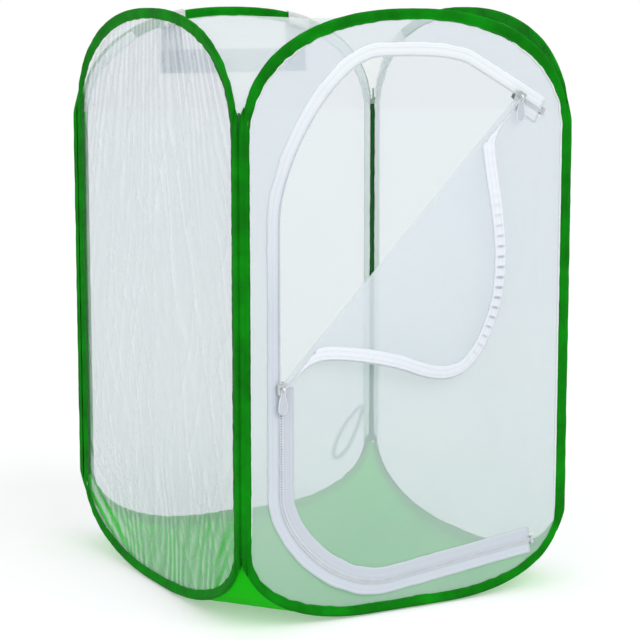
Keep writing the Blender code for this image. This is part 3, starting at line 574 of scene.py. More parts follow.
for side, panel in PANELS.items():
    place, points, length = binding_rule(side, panel)
    level = [side_way.y > LEVEL_SHARE for side_way in to_right(points, True)]
    foot = next(i for i, p in enumerate(points) if p.x > panel.length / 2 and p.y > HEM_FOOT)
    bare = RING_COLUMNS
    if side == "back":
        near = [i for i, p in enumerate(points) if foot < i and p.x < panel.length / 2]
        bare = next(i for i in near if points[i].y < HEM_BARE)
    runs = {"far": (foot, level.index(True)), "near": (RING_COLUMNS - level[::-1].index(True) - 1, bare)}
    for hand in HEM_SIDES[side]:
        start, stop = runs[hand]
        columns = stop - start

        def hem_place(column, row):
            shown = min(1, column / HEM_FADE, (columns - column) / HEM_FADE)
            inner = HEM_ROWS[row] >= FIRST_INNER_ROW
            push = (0.0008 * shown - 0.0003) if inner else (0.0003 - 0.0007 * shown)
            return place(start + column, HEM_ROWS[row], push, HEM_REACH[row] * shown)

        size = (length * columns / RING_COLUMNS, HEM_WIDE)
        name = "net_hem_" + side + "_" + hand
        strip = lay_cloth(name, columns, len(HEM_ROWS) - 1, hem_place, size, -panel.out)
        dress(strip, hem_finish, side + "_panel")

# %% [markdown]
# ## Gussets down the corners
# A strip of the same green cloth covers the groove between two rings, drawn in a little where it is sewn to
# the seam. It has to bend when the cage folds. The back right corner has no joint of its own, and there the
# groove stays open, down to its stitches.


# %% Strips over the grooves
GUSSET_LOW, GUSSET_HIGH, GUSSET_REACH, GUSSET_WIDE = 0.056, 0.500, 0.0057, 0.014
GUSSET_PUFF = {"back_left": 0.0026}     # the far corner's strip puffs out a little in its middle


def ring_inset(panel, z):
    """How far a ring's outer edge stands in from the corner of the cage at a height."""
    if z < HEIGHT / 2:
        edge = [(p.y, p.x) for p in reversed(low_corner(panel))]
    else:
        edge = [(HEIGHT - p.y, p.x) for p in top_corner(panel)]
    return float(np.interp(z, *zip(*edge)))


def make_gusset(name, x, y, puff):
    """A strip round a corner. Its share is 0 where it leaves one ring, and 1 where it meets the next."""
    corner = Vector((x * HALF_W, y * HALF_D, 0))
    ahead, aside = Vector((0, y, 0)), Vector((x, 0, 0))
    columns, rows = 150, 24

    def place(column, row):
        share = 3 * row / rows - 1
        notch = 0.012 * max(0, 1 - abs(2 * share - 1))
        low, high = GUSSET_LOW + notch, GUSSET_HIGH - notch
        z = low + (high - low) * column / columns
        tuck = max(0, 1 - min(z - low, high - z) / 0.018)
        over = max(0, -share, share - 1)
        turn = math.pi / 2 * clamp(share)
        groove = 0.0030 * max(0, math.sin(2 * turn)) ** 6 * (1 - puff / 0.003)
        pucker = ripple((z, share * 0.01), 0.013, 5 * x + 3 * y) * 0.0004
        reach = GUSSET_REACH - groove + pucker - 0.0006 * over + puff * math.sin(math.pi * turn / 2) ** 2
        reach -= 0.0030 * tuck
        spot = ahead * (reach * math.cos(turn)) + aside * (reach * math.sin(turn))
        spot -= (aside if share < 0 else ahead) * (0.0028 * over * (1 - tuck * 0.6))
        across, along = ring_inset(FRONT, z), ring_inset(LEFT, z)
        spot -= aside * (across * math.cos(turn)) + ahead * (along * math.sin(turn))
        return corner + spot + Vector((0, 0, z))

    size = (GUSSET_HIGH - GUSSET_LOW, GUSSET_WIDE)
    strip = lay_cloth(name, columns, rows, place, size, ahead + aside)
    return dress(strip, binding_finish)


for name, (x, y) in CORNERS.items():
    if name != OPEN_CORNER:
        gusset = make_gusset("gusset_" + name, x, y, GUSSET_PUFF.get(name, 0.0))
        bend_with_corner(gusset, name, GUSSET_REACH)

# %% [markdown]
# ## White net
# The net is fine knitted polyester. At arm's length its holes melt into a haze, so it is one open sheet whose
# finish lets light through between the threads, not thousands of modelled holes, which no one could see.
# It is stretched on its ring, and still ripples a little between the threads of the hem.


# %% Net and film finishes
def make_net_finish(name, dense, dark, light):
    """Knitted net. `dense` is the share of light that its thinnest places stop."""
    net = Finish(name, Roughness=0.85)
    uv, place = net.uv(), net.place()
    across, along = [axis * (math.pi / 0.0013) for axis in net.split(uv)[:2]]
    slant_a = (across + along).math("SINE").math("ABSOLUTE")
    slant_b = (across - along).math("SINE").math("ABSOLUTE")
    thread = 1 - (slant_a.math("MINIMUM", slant_b) * 2.2).math("MINIMUM", 1.0)
    cloudy = net.noise(place, 9, 3)
    net.set("Base Color", net.mix(cloudy, dark, light))
    net.set("Alpha", (dense + thread * 0.22 + cloudy * 0.05).math("MINIMUM", 1.0))
    net.set("Specular IOR Level", 0.2)
    net.bump(thread, 0.3, 0.0003)
    net.glow_through(0.20, light)
    return net


def make_film_finish():
    film = Finish("clear_film", Roughness=0.22, Coat_Weight=0.25)
    film.set("Coat Roughness", 0.08)
    film.set("Specular IOR Level", 0.5)
    place = film.place()
    crease = film.add("Attribute", {"attribute_name": "crease"}, output="Fac")
    clear = film.add("Attribute", {"attribute_name": "clear"}, output="Fac")
    haze = film.noise(film.stretch(place, (1, 9, 4)), 1, 2)
    fine = film.noise(film.stretch(place, (1, 120, 26)), 1, 2, 0.4)
    # Painted light and shade: the colour goes from dark to light with the painted shine mark, and the lit
    # side of a crease also stops a little more light.
    film.set("Base Color", film.mix(crease, shade(158, 169, 181), shade(234, 239, 245)))
    film.set("Alpha", (0.32 + haze * 0.06 + crease * 0.12) * (1 - clear * 0.9))
    film.set("Roughness", 0.24 + haze * 0.14)
    film.bump(fine, 0.12, 0.0008)
    return film


net_finish = make_net_finish("white_net", 0.38, shade(219, 227, 237), shade(233, 240, 247))
top_net_finish = make_net_finish("white_top_net", 0.28, shade(242, 248, 253), shade(249, 252, 255))
# The folded corner's net is a lighter copy of the same net: painted light, for the light the fold catches as
# it leans out.
lit_flap_net_finish = make_net_finish("white_flap_net", 0.38, shade(236, 242, 249), shade(247, 251, 255))
film_finish = make_film_finish()


# %% A sheet stretched inside a ring
NET_TUCK = 0.0014


def inner_edge(panel, inset):
    """The ring's edge moved in, as heights: (u, low z, high z) for u from one side to the other."""
    points, _ = spread(outline(panel), 1600, True)
    outs = to_right(points, True)
    moved = [p - out * (band_width(out) - inset) for p, out in zip(points, outs)]
    low = sorted((p.x, p.y) for p in moved if p.y < HEIGHT / 2)
    high = sorted((p.x, p.y) for p in moved if p.y >= HEIGHT / 2)
    return ([np.array([p[axis] for p in row]) for axis in (0, 1)] for row in (low, high))


def stretched_sheet(name, panel, columns, rows, lift):
    """Net or film that fills a ring: lift(u, z) is how far each point stands off the panel's plane."""
    (low_u, low_z), (high_u, high_z) = inner_edge(panel, NET_TUCK)
    near, far = low_u[0], low_u[-1]

    def place(column, row):
        share = column / columns
        share = 0.55 * share + 0.45 * (0.5 - 0.5 * math.cos(math.pi * share))
        u = near + (far - near) * share
        low, high = np.interp(u, low_u, low_z), np.interp(u, high_u, high_z)
        z = low + (high - low) * row / rows
        rim = min(1.0, row / rows * 9, (1 - row / rows) * 9, share * 9, (1 - share) * 9)
        return panel.point(u, z, lift(u, z) * rim)

    return lay_cloth(name, columns, rows, place, (panel.length, HEIGHT), panel.out)


NET_COLUMNS, NET_ROWS = 90, 130


def slack_net(seed):
    """A rule for net that is stretched, but not quite flat."""
    return lambda u, z: ripple((u, z), 0.085, seed) * 0.0022 + ripple((u, z), 0.03, seed) * 0.0007


for side, panel in (("back", BACK), ("right", RIGHT)):
    net = stretched_sheet(side + "_net", panel, NET_COLUMNS, NET_ROWS, slack_net(len(side)))
    dress(net, net_finish, side + "_panel", [side + "_mesh"])
    "binding_cloth_" + side

# %% [markdown]
# ## Clear film window
# The left side is clear film. It was cut wider than the ring, so it is gathered at the top and the bottom,
# and sharp creases run down from the gathers. The creases are modelled as a height over the flat film.
# From their slope comes painted light and shade, kept as an attribute: each crease is painted bright on one
# side and dull on the other, with painted glints low in the far corner. A second attribute says where the
# film is drawn tight in the low corners, and so clear that the green shows.


# %% Gathers and creases of the film
def film_height(u, z):
    """The film's height off its plane: gathers at the top and bottom, long creases and short ones."""
    middle = DEPTH / 2
    fan_top = (u - middle) / (HEIGHT + 0.22 - z) * 0.36
    fan_low = (u - middle) / (z + 0.26) * 0.34
    top_share = clamp((z - 0.24) / 0.33)
    low_share = clamp((0.22 - z) / 0.20)
    gathers = math.sin(fan_top * 380 + 14 * ripple((u, z * 0.25), 0.06, 2)) * top_share ** 2
    gathers += 0.9 * math.sin(fan_low * 340 + 16 * ripple((u, z * 0.5), 0.06, 6)) * low_share ** 1.5
    fold_a = ridge((fan_top, z * 0.16), 0.030, 3)
    fold_b = ridge((u * 0.95 + z * 0.26, z * 0.30 - u * 0.10), 0.036, 8)
    fold_c = ridge((u * 0.97 - z * 0.30, z * 0.25 + u * 0.12), 0.030, 11)
    short = ridge((u - z * 0.60, z * 0.6 + u * 0.4), 0.016, 15) * (0.15 + 0.85 * low_share)
    height = gathers * 0.0006 + (fold_a * 1.1 + fold_b + fold_c * 0.9 + short * 0.6) * 0.0007
    return height + ripple((u, z * 0.4), 0.07, 21) * 0.0020


def film_marks(u, z):
    """Painted shine from each place's slope, and how clear the film is drawn there, both from 0 to 1."""
    step = 0.0007
    slope = (film_height(u + step, z) - film_height(u - step, z)) / (2 * step)
    far = clamp((u - 0.22) / 0.10) * clamp((0.14 - z) / 0.06)
    near = clamp((0.10 - u) / 0.05) * clamp((0.12 - z) / 0.05)
    far_streak = ripple((u * 0.478 - z * 0.878, (u * 0.878 + z * 0.478) * 0.05), 0.0075, 31)
    near_streak = ripple((u * 0.81 + z * 0.59, (u * 0.59 - z * 0.81) * 0.08), 0.011, 37)
    tight = clamp((u - 0.367) / 0.005) * clamp((0.515 - z) / 0.02)
    clear = max(tight, far * clamp(0.15 + 2.2 * far_streak), near * clamp(2.4 * near_streak))
    # Painted light and shade: each crease is bright on one side and dark on the other, with painted glints
    # low in the far corner.
    shine = 0.5 + slope * 1.9 + far * max(0, -far_streak - 0.1) * 2
    return clamp(shine), clear


# %% The film itself, and its marks
FILM_COLUMNS, FILM_ROWS = 220, 340
film = stretched_sheet("film_sheet", LEFT, FILM_COLUMNS, FILM_ROWS, film_height)
marks = [film_marks(vert.co.y + HALF_D, vert.co.z) for vert in film.data.vertices]
# The first mark is painted shine, and the second says how clear the film is.
for index, title in enumerate(("crease", "clear")):
    layer = film.data.attributes.new(title, "FLOAT", "POINT")
    layer.data.foreach_set("value", [mark[index] for mark in marks])
dress(film, film_finish, "left_panel", ["film_window"])

# %% [markdown]
# ## Floor and top
# The floor is green cloth and the top is net. Each is sewn to all four rings. The rings part in a V at every
# corner, so the floor rises into a pocket there, and the top dips into one. When the cage folds, the cloth
# creases along its two diagonals, so it is cut there into four gores. Each gore goes with its own ring.


# %% Four gores that meet on the diagonals
# Steps from a corner to the middle of a level run, and how far a gore stays inside the fold's axis
LEVEL_STEPS, SHY = 6, 0.0004


def corner_run(panel, rise_of, sign, inset, steps, tip):
    """A ring's round corner, from the pocket's tip on, moved in by a share of the binding's width.

    The share is small at first and whole after `tip` steps, so that the cloth ends in a point.
    """
    line = rise_of(panel, steps)
    moved = [p - out * band_width(Vector((out.x, sign * out.y))) * inset * min(1, (index + 2) / tip)
             for index, (p, out) in enumerate(zip(line, to_right(line)))]
    return moved[1:]


def gore_lines(side, rise_of, base, sign, steps, inset, tip):
    """A gore's outer line on its ring, and its inner line over the diagonals and the middle."""
    panel = PANELS[side]
    along_x = side in ("front", "back")
    cross = LEFT if along_x else FRONT
    pairs = list(zip(corner_run(panel, rise_of, sign, inset, steps, tip),
                     corner_run(cross, rise_of, sign, inset, steps, tip)))
    flip = -1 if side in ("front", "left") else 1
    outer, inner = [], []
    for hand in (-1, 1):
        line, fold = [], []
        for own, other in pairs:
            z, twin_z = base + sign * own.y, base + sign * other.y
            if along_x:
                edge = Vector((hand * (HALF_W - SEAM_GAP - own.x), flip * (HALF_D - SHY), z))
                twin = Vector((hand * (HALF_W - SHY), flip * (HALF_D - SEAM_GAP - other.x), twin_z))
            else:
                edge = Vector((flip * (HALF_W - SHY), hand * (HALF_D - SEAM_GAP - own.x), z))
                twin = Vector((flip * (HALF_W - SEAM_GAP - other.x), hand * (HALF_D - SHY), twin_z))
            line.append(edge)
            fold.append((edge + twin) / 2)
        centre = Vector((0, 0, base + sign * pairs[-1][0].y))
        end, bend = line[-1], fold[-1]
        mid = Vector((0, end.y, end.z)) if along_x else Vector((end.x, 0, end.z))
        line += [end.lerp(mid, step / LEVEL_STEPS) for step in range(1, LEVEL_STEPS + 1)]
        fold += [bend.lerp(centre, step / LEVEL_STEPS) for step in range(1, LEVEL_STEPS + 1)]
        outer.append(line)
        inner.append(fold)
    return outer[0] + outer[1][-2::-1], inner[0] + inner[1][-2::-1]


def make_gore(name, side, rise_of, base, sign, drape, steps, rows, inset, hem, tip):
    """A gore whose cloth starts at share `hem` of the binding's width, and leaves it at share `inset`.

    `sign` is 1 where the pockets rise from `base`, and -1 where they dip from it.
    """
    outer, inner = gore_lines(side, rise_of, base, sign, steps, inset, 1)
    sewn, _ = gore_lines(side, rise_of, base, sign, steps, hem, tip)
    columns = len(outer) - 1

    def place(column, row):
        if row == 0:
            return sewn[column]
        spot = outer[column].lerp(inner[column], (row - 1) / (rows - 1))
        away = (spot - outer[column]).length
        return spot + Vector((0, 0, drape(spot, away)))

    return lay_cloth(name, columns, rows, place, (WIDTH, HALF_D), Vector((0, 0, -sign)))


def sew_in(gore, side, finish, node):
    """Dress a gore, and let it ride on its ring's panel."""
    panel = PANELS[side]
    dress(gore, finish, side + "_panel", [node])
    "binding_cloth_" + side
    tuple(panel.out)
    tuple(panel.point(0, 0))
    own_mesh(gore)


# %% Green floor cloth
def make_floor_finish():
    cloth = Finish("green_floor_cloth", Roughness=0.7)
    cloth.set("Specular IOR Level", 0.1)
    place = cloth.place()
    weave = cloth_weave(cloth, place, 0.0009)
    worn = cloth.noise(place, 14, 4)
    cloth.set("Base Color", cloth.mix(weave * 0.25 + worn * 0.4, shade(2, 180, 2), shade(30, 220, 18)))
    cloth.set("Roughness", 0.55 + worn * 0.25)
    cloth.bump(weave * 0.3 + cloth.noise(place, 60, 3), 0.4, 0.001)
    cloth.glow_through(0.25, shade(60, 240, 40))
    return cloth


def floor_drape(spot, away):
    level = max(0.0, 1 - spot.z / 0.02)
    wrinkle = ripple((spot.x, spot.y), 0.045, 31) * 0.0012 + ripple((spot.x, spot.y), 0.018, 33) * 0.0005
    return 0.0011 + (abs(wrinkle) if level > 0.5 else wrinkle) * min(1.0, away / 0.012)


floor_finish = make_floor_finish()
for side in PANELS:
    gore = make_gore("floor_cloth_" + side, side, low_corner, 0, 1, floor_drape,
                     steps=26, rows=40, inset=0, hem=1.06, tip=7)
    sew_in(gore, side, floor_finish, "floor_panel")


# %% Net top
def top_drape(spot, away):
    sag = 0.002 * min(1.0, away / 0.10) ** 1.3
    return -0.0016 - sag + ripple((spot.x, spot.y), 0.05, 41) * 0.0012 * min(1.0, away / 0.03)


for side in PANELS:
    gore = make_gore("top_net_" + side, side, top_corner, HEIGHT, -1, top_drape,
                     steps=30, rows=30, inset=0.85, hem=0.9, tip=1)
    sew_in(gore, side, top_net_finish, "top_mesh")

# %% [markdown]
# ## Route of the door's zip
# The zip runs round the big door in the front panel. It is closed along the bottom and up the left side as
# far as the side slider, open round the top left corner, and closed again from the top slider on. The door's
# free corner is folded out and down over a slanting fold line that joins the two sliders.

# %% The zip's route, in u along the front panel and z up
START, LOW_LEFT = Vector((0.325, 0.052)), Vector((0.160, 0.033))
LEFT_LOW, SIDE_SLIDER, LEFT_HIGH = Vector((0.040, 0.130)), Vector((0.040, 0.235)), Vector((0.040, 0.392))
HIGH_LEFT, HIGH_BEND = Vector((0.148, 0.544)), Vector((0.222, 0.545))
HIGH_RIGHT, END = Vector((0.245, 0.536)), Vector((0.330, 0.489))
TOP_SLIDER = HIGH_RIGHT.lerp(END, 0.69)
HINGE = 0.331


def bend(start, first, second, end, steps=24):
    """A smooth curve between two places, led by two handles, without its first point."""
    line = []
    for step in range(1, steps + 1):
        t = step / steps
        s = 1 - t
        line.append(start * s ** 3 + first * (3 * s * s * t) + second * (3 * s * t * t) + end * t ** 3)
    return line


LOWER = [START, LOW_LEFT] + bend(LOW_LEFT, Vector((0.100, 0.027)), Vector((0.040, 0.090)), LEFT_LOW)
LOWER += [SIDE_SLIDER]
OPEN = [SIDE_SLIDER, LEFT_HIGH]
OPEN += bend(LEFT_HIGH, Vector((0.040, 0.447)), Vector((0.100, 0.544)), HIGH_LEFT)
OPEN += bend(HIGH_LEFT, HIGH_LEFT.lerp(HIGH_BEND, 0.5), HIGH_BEND, HIGH_RIGHT, 12) + [TOP_SLIDER]
TOP = [TOP_SLIDER, END]
WHOLE = LOWER + OPEN[1:] + TOP[1:]
FOLD = (TOP_SLIDER - SIDE_SLIDER).normalized()
DOWN = Vector((FOLD.y, -FOLD.x))
FOLD_LENGTH = (TOP_SLIDER - SIDE_SLIDER).length
print("zip", round(spread(WHOLE, 200)[1], 3), "m long, fold line", round(FOLD_LENGTH, 3), "m")


def beside(line, distance):
    """A line moved to its right, which is towards the door on the zip's route."""
    return [p + side * distance for p, side in zip(line, to_right(line))]


# %% [markdown]
# ## Front net and door
# The net round the door is a ring of cloth: its outer edge is in the binding, and its inner edge is sewn
# under the zip's tape. The door's net hangs from the fold line inside the same route. Both are grids
# between two edges, so their rows follow the curves that the sewing pulls them along.


# %% Net round the door
SEW = 0.006
SURROUND_COLUMNS, SURROUND_ROWS = 560, 14
DOOR_MIDDLE = Vector((0.183, 0.292))


def frame_edges(count, middle):
    """The surround's outer and inner edge, as places at equal angles round the door's middle."""
    ring, _ = spread(outline(FRONT), 2400, True)
    outer = [p - out * (band_width(out) - NET_TUCK) for p, out in zip(ring, to_right(ring, True))]
    route, _ = spread(WHOLE, 1600)
    inner = beside(route, -SEW) + spread([Vector((HINGE, END.y)), Vector((HINGE, START.y))], 300)[0]
    lines = []
    for loop in (outer, inner):
        polar = sorted((math.atan2((p - middle).y, (p - middle).x), (p - middle).length) for p in loop)
        angles, reaches = zip(*polar)
        turns = [-math.pi + math.tau * index / count for index in range(count + 1)]
        far = np.interp(turns, angles, reaches, period=math.tau)
        lines.append([middle + Vector((math.cos(t), math.sin(t))) * float(r) for t, r in zip(turns, far)])
    return lines


binding_line, zip_line = frame_edges(SURROUND_COLUMNS, DOOR_MIDDLE)


def surround_place(column, row):
    share = row / SURROUND_ROWS
    spot = binding_line[column].lerp(zip_line[column], share)
    slack = min(1.0, 4 * share * (1 - share) + 0.1)
    return FRONT.point(spot.x, spot.y, slack_net(3)(spot.x, spot.y) * slack * 0.6)


surround = lay_cloth("front_net", SURROUND_COLUMNS, SURROUND_ROWS, surround_place, (1.6, 0.04), FRONT.out)
dress(surround, net_finish, "front_panel", ["front_mesh"])

# %% Net of the door below its fold line
lower_edge = beside(LOWER, SEW)
upper_edge = beside(TOP, SEW)
door_edge = [SIDE_SLIDER + Vector((SEW, 0))] + list(reversed(lower_edge))[1:]
door_edge += [Vector((HINGE, START.y + SEW)), Vector((HINGE, END.y - SEW))] + list(reversed(upper_edge))
DOOR_COLUMNS, DOOR_ROWS = 150, 90
door_line, _ = spread(door_edge, DOOR_COLUMNS + 1)


def door_place(column, row):
    along = FOLD_LENGTH * column / DOOR_COLUMNS
    fold_spot = SIDE_SLIDER + FOLD * along
    spot = fold_spot.lerp(door_line[column], row / DOOR_ROWS)
    away = (spot - fold_spot).length
    rim = min(1.0, away / 0.03) * min(1.0, (door_line[column] - spot).length / 0.03)
    return FRONT.point(spot.x, spot.y, slack_net(5)(spot.x, spot.y) * rim)


door = lay_cloth("door_net", DOOR_COLUMNS, DOOR_ROWS, door_place, (0.42, 0.30), FRONT.out)
dress(door, net_finish, "front_panel", ["door_mesh"])

# %% [markdown]
# ## Folded corner
# The loose corner of the door rolls over the fold line and lies bowed over the door, with the zip's tape
# sewn along its free edge. The roll is part of the same sheet, so the cloth is whole over the fold.

# %% Shape of the folded corner
# The corner's free edge: places along the fold line and away from it, as shares of the fold's length
EDGE_SHARES = ((0.0, 0.004), (0.045, 0.006), (0.095, 0.014), (0.128, 0.036), (0.171, 0.089), (0.215, 0.156),
               (0.249, 0.217), (0.278, 0.286), (0.312, 0.340), (0.352, 0.374), (0.400, 0.388),
               (0.451, 0.384), (0.510, 0.365), (0.570, 0.333), (0.633, 0.283), (0.694, 0.221),
               (0.748, 0.155), (0.800, 0.089), (0.838, 0.042), (0.867, 0.014), (0.93, 0.006), (1.0, 0.004))
FLAP_AXIS, FLAP_ROLL = 0.004, 0.003
FLAP_COLUMNS, ROLL_ROWS, FLAP_ROWS = 160, 8, 44


def smooth_line(points, passes=3):
    """Round a line's corners by cutting each of them, over and over."""
    for _ in range(passes):
        cut = [points[0]]
        for first, second in zip(points, points[1:]):
            cut += [first.lerp(second, 0.25), first.lerp(second, 0.75)]
        points = cut + [points[-1]]
    return points


free_edge = smooth_line([Vector(p) * FOLD_LENGTH for p in EDGE_SHARES])
flap_edge, flap_length = spread(free_edge, FLAP_COLUMNS + 1)
print("the folded corner's edge is", round(flap_length, 3), "m long")


# %% The folded corner's sheet
def flap_spot(along, away, lift):
    """A place on the folded corner: along the fold line, away from it, and off the cloth's middle."""
    away = max(away, 0.0004)
    bow = 0.008 * math.sin(math.pi * clamp(away / 0.150))
    soft = ripple((along, away), 0.07, 51) * 0.0016 * min(1.0, away / 0.03)
    spot = SIDE_SLIDER + FOLD * along + DOWN * away
    return FRONT.point(spot.x, spot.y, FLAP_AXIS + FLAP_ROLL + bow + soft + lift)


def flap_place(column, row):
    """The first rows roll over the fold line, and the others lie on the door."""
    edge = flap_edge[column]
    if row < ROLL_ROWS:
        turn = math.pi * row / ROLL_ROWS
        spot = SIDE_SLIDER + FOLD * edge.x - DOWN * (FLAP_ROLL * math.sin(turn))
        return FRONT.point(spot.x, spot.y, FLAP_AXIS - FLAP_ROLL * math.cos(turn))
    return flap_spot(edge.x, edge.y * (row - ROLL_ROWS) / FLAP_ROWS, 0)


flap = lay_cloth("door_flap_net", FLAP_COLUMNS, ROLL_ROWS + FLAP_ROWS, flap_place, (0.40, 0.15))
dress(flap, lit_flap_net_finish, None, ["door_flap"])
tuple(FRONT.point(0.2, 0.4, 0.0009))
tuple(FRONT.point(0.2, 0.4, 0.0069))
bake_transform(flap)

# %% [markdown]
# ## Zip tape and coil
# The tape is a woven ribbon, one half on the panel and one on the door. The coil is a nylon spring sewn
# along its edge. One turn of the coil is modelled with few faces, and copied along the route a turn
# apart, because from a step away only the row of ticks is seen.


# %% Tape finish
PUCKER_PITCH = 0.0105


def make_tape_finish(name, low, high, pucker_shade=0):
    """Woven tape, with painted shade that darkens it towards the floor.

    The last argument is how dark the painted shade between its gathers is, where it is drawn in.
    """
    tape = Finish(name, Roughness=0.8)
    uv, place = tape.uv(), tape.place()
    weave = cloth_weave(tape, uv, 0.0008)
    run, across = tape.split(uv)[:2]
    stitch = tape.line(across, 0.0085, 0.0004) * (run / 0.003).math("FRACT").math("LESS_THAN", 0.7)
    seam = tape.line(across, 0.0036, 0.0005)
    rib = (across * (math.tau / 0.0022)).math("SINE") * 0.5 + 0.5
    soft = tape.noise(place, 22, 3)
    # Painted shade: the tape is drawn darker towards the floor and lighter higher up.
    height = tape.split(place)[2]
    painted_light_by_height = ((height - 0.30) / 0.22 + soft * 0.3 - 0.15).math("MAXIMUM", 0.0).math("MINIMUM", 1.0)
    base = tape.mix(painted_light_by_height, low, high)
    base = tape.mix(stitch * 0.5 + rib * 0.12 + seam * 0.4, base, shade(186, 194, 205))
    # Painted shade between the puckers, where the sewing draws the tape in.
    if pucker_shade:
        turns = (run * (math.tau / PUCKER_PITCH)).math("SINE").math("MAXIMUM", 0.0) ** 3
        tight = tape.line(run, 0.31, 0.09) * tape.line(across, 0.0060, 0.0060)
        base = tape.mix((turns * tight * pucker_shade).math("MINIMUM", 1.0), base, shade(184, 191, 203))
    tape.set("Base Color", base)
    tape.set("Roughness", 0.7 + soft * 0.2)
    tape.bump(weave * 0.3 + rib * 0.4 + stitch, 0.5, 0.0004)
    return tape


# %% Finishes for the hard parts
def make_plain_finish(name, dark, light, roughness, metallic, scale, bump):
    """A finish for small hard parts: slight clouding, fine grain and uneven gloss."""
    hard = Finish(name, Metallic=metallic)
    place = hard.place()
    cloud = hard.noise(place, scale, 4)
    grain = hard.noise(place, scale * 12, 2)
    hard.set("Base Color", hard.mix(cloud, dark, light))
    hard.set("Roughness", roughness + cloud * 0.15)
    hard.bump(grain, bump, 0.0002)
    return hard


# One tape in three copies, with painted light and shade: the panel's tape, a darker copy painted as shade for
# the door, and a lighter copy painted as light for the folded corner, with painted shade in its puckers.
tape_finish = make_tape_finish("white_zip_tape", shade(215, 222, 232), shade(246, 251, 255))
shaded_door_tape_finish = make_tape_finish("shaded_zip_tape", shade(208, 214, 224), shade(240, 245, 251))
lit_flap_tape_finish = make_tape_finish("lit_puckered_zip_tape", shade(240, 245, 252), shade(244, 249, 254), 2.2)
coil_finish = make_plain_finish("white_nylon", shade(224, 229, 236), shade(244, 247, 250), 0.4, 0, 90, 0.2)
nickel_finish = make_plain_finish("bright_nickel", shade(176, 181, 184), shade(226, 229, 230),
                                  0.2, 0.9, 150, 0.3)


def make_pull_finish():
    """Bright enamel on the rim, with painted shade in the pressed middle, where a `pressed` mark is 1."""
    enamel = Finish("pull_enamel", Metallic=0.2)
    pressed = enamel.add("Attribute", {"attribute_name": "pressed"}, output="Fac")
    cloud = enamel.noise(enamel.place(), 150, 4)
    rim = enamel.mix(cloud, shade(226, 230, 234), shade(248, 250, 252))
    # Painted shade: the pressed-in middle is coloured darker, for the shade that falls in the recess.
    enamel.set("Base Color", enamel.mix(pressed, rim, shade(202, 207, 217)))
    enamel.set("Roughness", 0.25 + cloud * 0.15)
    enamel.bump(cloud, 0.3, 0.0002)
    return enamel


pull_finish = make_pull_finish()


# %% Tape strips beside the route
TAPE_WIDE, TAPE_THICK, HALF_GAP = 0.0135, 0.0006, 0.0001
STRETCHES = (("panel", WHOLE, -1), ("door", LOWER, 1), ("door_top", TOP, 1))


def make_strip(name, line, near, far, place_at, rows=7, step=0.004):
    """A ribbon beside a line. place_at(spot, share, run) puts a spot of it, `run` along, in the cage."""
    count = max(8, int(spread(line, 200)[1] / step))
    points, length = spread(line, count + 1)
    sides = to_right(points)

    def place(column, row):
        share = row / rows
        wave = ripple((length * column / count, 0), 0.017, 67) * 0.0009 * share * (1 if far > 0 else -1)
        spot = points[column] + sides[column] * (near + (far - near) * share + wave)
        return place_at(spot, share, length * column / count)

    strip = lay_cloth(name, count, rows, place, (length, abs(far - near)))
    return thicken(strip, TAPE_THICK)


def on_panel(spot, share, run):
    lift = 0.0012 + ripple((run, share * 0.01), 0.022, 61) * 0.0004 * share
    return FRONT.point(spot.x, spot.y, lift)


for name, line, hand in STRETCHES:
    strip = make_strip("tape_" + name, line, hand * HALF_GAP, hand * (HALF_GAP + TAPE_WIDE), on_panel)
    dress(strip, tape_finish if name == "panel" else shaded_door_tape_finish, "front_panel",
          ["zip_tape_" + name])


def on_flap(spot, share, run):
    """The tape lies on the folded corner, and puckers where the sewing pulls it round the curve."""
    pucker = math.sin(run * math.tau / PUCKER_PITCH) * 0.0006 * math.sin(math.pi * min(1, share * 1.2))
    return flap_spot(spot.x, spot.y, 0.0012 + max(0, pucker))


strip = make_strip("tape_flap", flap_edge, 0.0008, TAPE_WIDE, on_flap, rows=8, step=0.002)
dress(strip, lit_flap_tape_finish, "door_corner", ["zip_tape_flap"])


# %% Copies of one small piece in one mesh
def copy_to(name, piece, places):
    """A mesh with a copy of a small piece at each place, given as a matrix. The piece itself goes."""
    whole = bmesh.new()
    for place in places:
        first = len(whole.verts)
        whole.from_mesh(piece.data)
        whole.verts.ensure_lookup_table()
        bmesh.ops.transform(whole, matrix=place, verts=whole.verts[first:])
    mesh = bpy.data.meshes.new(name)
    whole.to_mesh(mesh)
    whole.free()
    copies = bpy.data.objects.new(name, mesh)
    bpy.context.scene.collection.objects.link(copies)
    bpy.data.objects.remove(piece, do_unlink=True)
    print(name, "has", len(places), "copies")
    return copies


# %% One turn of the coil, copied along the route
TOOTH_WIDE, TOOTH_LONG, TOOTH_HIGH, TOOTH_PITCH = 0.0022, 0.00115, 0.0020, 0.0016


def make_tooth():
    """A rounded bar of nylon across the zip, thick in the middle, drawn about the origin."""
    start_fresh()
    bpy.ops.mesh.primitive_cylinder_add(vertices=6, radius=0.5, depth=1, end_fill_type="NGON",
                                        rotation=(0, math.pi / 2, 0))
    tooth = bpy.context.object
    bpy.ops.object.transform_apply(location=False, rotation=True, scale=False)
    bpy.ops.object.mode_set(mode="EDIT")
    bpy.ops.mesh.select_all(action="SELECT")
    bpy.ops.mesh.bevel(offset=0.16, segments=1, affect="EDGES", clamp_overlap=True)
    bpy.ops.object.mode_set(mode="OBJECT")
    return tooth


